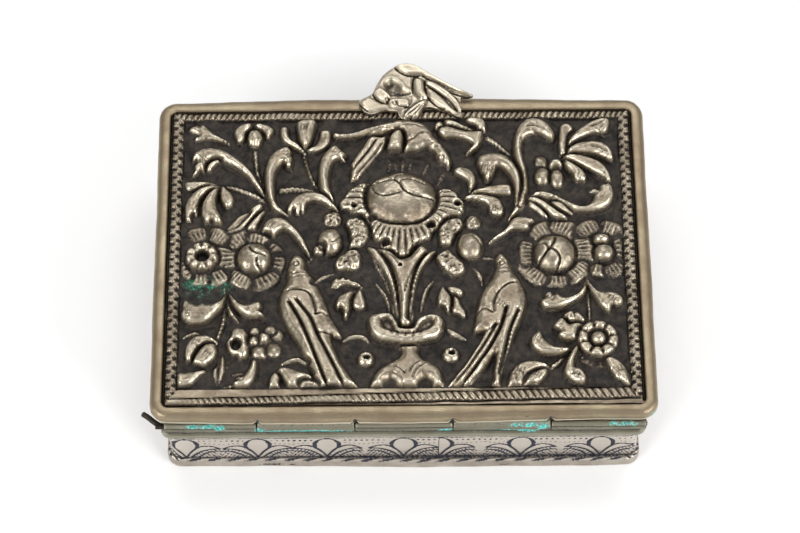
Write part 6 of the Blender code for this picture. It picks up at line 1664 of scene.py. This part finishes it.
class CASE_OT_embossed_sheet(bpy.types.Operator):
    """Make the lid's embossed sheet: its picture and its rope border"""

    bl_idname = "tobacco_case.embossed_sheet"
    bl_label = "Embossed Sheet"

    def execute(self, context):
        sizes, finish = context.scene.case_sizes, embossed_silver(context.scene.case_colours)
        field, border = add_embossed_field(sizes), add_embossed_border()
        finish_piece(field, ["embossed_sheet"], "lid", finish, 60)
        finish_piece(border, ["embossed_sheet"], "lid", finish, 60)
        return {"FINISHED"}


class CASE_OT_lid_rim(bpy.types.Operator):
    """Make the rounded rim of the lid"""

    bl_idname = "tobacco_case.lid_rim"
    bl_label = "Lid Rim"

    def execute(self, context):
        finish = drawn_silver()
        rim = add_lid_frame(context.scene.case_sizes)
        finish_piece(rim, ["lid_frame"], "lid", finish)
        return {"FINISHED"}


class CASE_OT_thumb_piece(bpy.types.Operator):
    """Make the bird-shaped thumb piece"""

    bl_idname = "tobacco_case.thumb_piece"
    bl_label = "Thumb Piece"

    def execute(self, context):
        finish = bpy.data.materials["embossed_aged_silver"]
        bird = add_thumb_piece(context.scene.case_sizes)
        finish_piece(bird, ["thumb_piece"], "lid", finish, 60)
        return {"FINISHED"}


class CASE_OT_mouldings(bpy.types.Operator):
    """Make the foot and the moulding round the mouth of the box"""

    bl_idname = "tobacco_case.mouldings"
    bl_label = "Box Mouldings"

    def execute(self, context):
        sizes, colours = context.scene.case_sizes, context.scene.case_colours
        pale, finish = engraved_silver(colours), hinge_silver()
        finish_piece(add_foot(), ["foot_band"], "box", pale)
        finish_piece(add_rim_moulding(), ["body_rim"], "box", finish)
        return {"FINISHED"}


class CASE_OT_wall(bpy.types.Operator):
    """Make the engraved wall of the box"""

    bl_idname = "tobacco_case.wall"
    bl_label = "Engraved Wall"

    def execute(self, context):
        finish = bpy.data.materials["engraved_pale_silver"]
        wall = add_engraved_wall(context.scene.case_sizes)
        finish_piece(wall, ["body_wall"], "box", finish, 60)
        return {"FINISHED"}


class CASE_OT_hinge(bpy.types.Operator):
    """Make the knuckles of the hinge and the wire through them"""

    bl_idname = "tobacco_case.hinge"
    bl_label = "Hinge"

    def execute(self, context):
        sizes, colours = context.scene.case_sizes, context.scene.case_colours
        add_knuckles(sizes, bpy.data.materials["hinge_silver_with_painted_shade_and_highlight"])
        black = blackened_wire(colours)
        finish_piece(add_hinge_wire(sizes), ["hinge_pin"], "box", black)
        return {"FINISHED"}


class CASE_OT_inside(bpy.types.Operator):
    """Finish the plain sheets inside the case"""

    bl_idname = "tobacco_case.inside"
    bl_label = "Inside Sheets"

    def execute(self, context):
        finish = inside_silver()
        for node in ("base_plate", "inner_bezel", "lid_lining"):
            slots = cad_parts[node].material_slots
            for material_slot in slots:
                material_slot.material = finish
        return {"FINISHED"}


class CASE_OT_stage(bpy.types.Operator):
    """Lay the pale floor and set the camera and the soft lights"""

    bl_idname = "tobacco_case.stage"
    bl_label = "Stage"

    def execute(self, context):
        add_floor(context.scene.case_colours)
        add_lights()
        add_camera()
        return {"FINISHED"}


def add_floor(colours):
    """A pale floor that shows white to the camera and keeps the case's shadow."""
    bpy.ops.object.select_all(action="DESELECT")
    bpy.ops.mesh.primitive_plane_add(size=6.0, location=(0, 0, 0))
    floor = bpy.context.object
    floor.name = "floor"
    material, _, surface = new_finish("matt_white_paper_floor")
    surface.inputs["Base Color"].default_value = linear(hex_code(colours.floor))
    surface.inputs["Roughness"].default_value = 0.9
    surface.inputs["Specular IOR Level"].default_value = 0.2
    floor.data.materials.append(material)


def add_lights():
    """Two large soft boxes towards the hinge side, one over the back, and a pale room."""
    for name, place, size, power in LIGHTS:
        direction = Vector(place).normalized()
        spot = Vector((0, 0, 0.012)) + direction * LIGHT_DISTANCE
        bpy.ops.object.light_add(type="AREA", location=spot, rotation=direction.to_track_quat("Z", "Y").to_euler())
        lamp = bpy.context.object
        lamp.name = name
        lamp.data.shape = "RECTANGLE"
        lamp.data.size, lamp.data.size_y = size
        lamp.data.energy = power
    world = bpy.context.scene.world or bpy.data.worlds.new("World")
    bpy.context.scene.world = world
    world.use_nodes = True
    sky = world.node_tree.nodes["Background"]
    sky.inputs["Color"].default_value = linear("#ffffff")
    sky.inputs["Strength"].default_value = ROOM_STRENGTH


def add_camera():
    """The camera of the picture, steeply above the hinge side."""
    rise, turn = math.radians(CAMERA_RISE), math.radians(CAMERA_TURN)
    back = Vector((math.sin(turn) * math.cos(rise), -math.cos(turn) * math.cos(rise), math.sin(rise)))
    place = Vector(CAMERA_TARGET) * MM + back * CAMERA_DISTANCE
    bpy.ops.object.camera_add(location=place, rotation=(math.pi / 2 - rise, 0, turn))
    camera = bpy.context.object
    camera.data.lens = CAMERA_LENS
    camera.data.sensor_width = 36
    bpy.context.scene.camera = camera


class CASE_PT_panel(bpy.types.Panel):
    """Sizes, colours and pieces of the tobacco case"""

    bl_idname = "CASE_PT_panel"
    bl_label = "Tobacco Case"
    bl_space_type = "VIEW_3D"
    bl_region_type = "UI"
    bl_category = "Tobacco Case"

    def draw(self, context):
        for group in (context.scene.case_sizes, context.scene.case_colours):
            for name in group.__annotations__:
                self.layout.prop(group, name)
        for operator in OPERATORS:
            self.layout.operator(operator.bl_idname)


OPERATORS = (CASE_OT_embossed_sheet, CASE_OT_lid_rim, CASE_OT_thumb_piece, CASE_OT_mouldings, CASE_OT_wall,
             CASE_OT_hinge, CASE_OT_inside, CASE_OT_stage)
CLASSES = (CaseSizes, CaseColours) + OPERATORS + (CASE_PT_panel,)


def register():
    for item in CLASSES:
        bpy.utils.register_class(item)
    bpy.types.Scene.case_sizes = PointerProperty(type=CaseSizes)
    bpy.types.Scene.case_colours = PointerProperty(type=CaseColours)


def unregister():
    del bpy.types.Scene.case_sizes, bpy.types.Scene.case_colours
    for item in reversed(CLASSES):
        bpy.utils.unregister_class(item)


def main():
    """Build the case piece by piece."""
    register()
    bpy.context.scene.view_settings.view_transform = "Standard"
    bpy.ops.tobacco_case.embossed_sheet()
    bpy.ops.tobacco_case.lid_rim()
    bpy.ops.tobacco_case.thumb_piece()
    bpy.ops.tobacco_case.mouldings()
    bpy.ops.tobacco_case.wall()
    bpy.ops.tobacco_case.hinge()
    bpy.ops.tobacco_case.inside()
    bpy.ops.tobacco_case.stage()


if __name__ == "__main__":
    main()
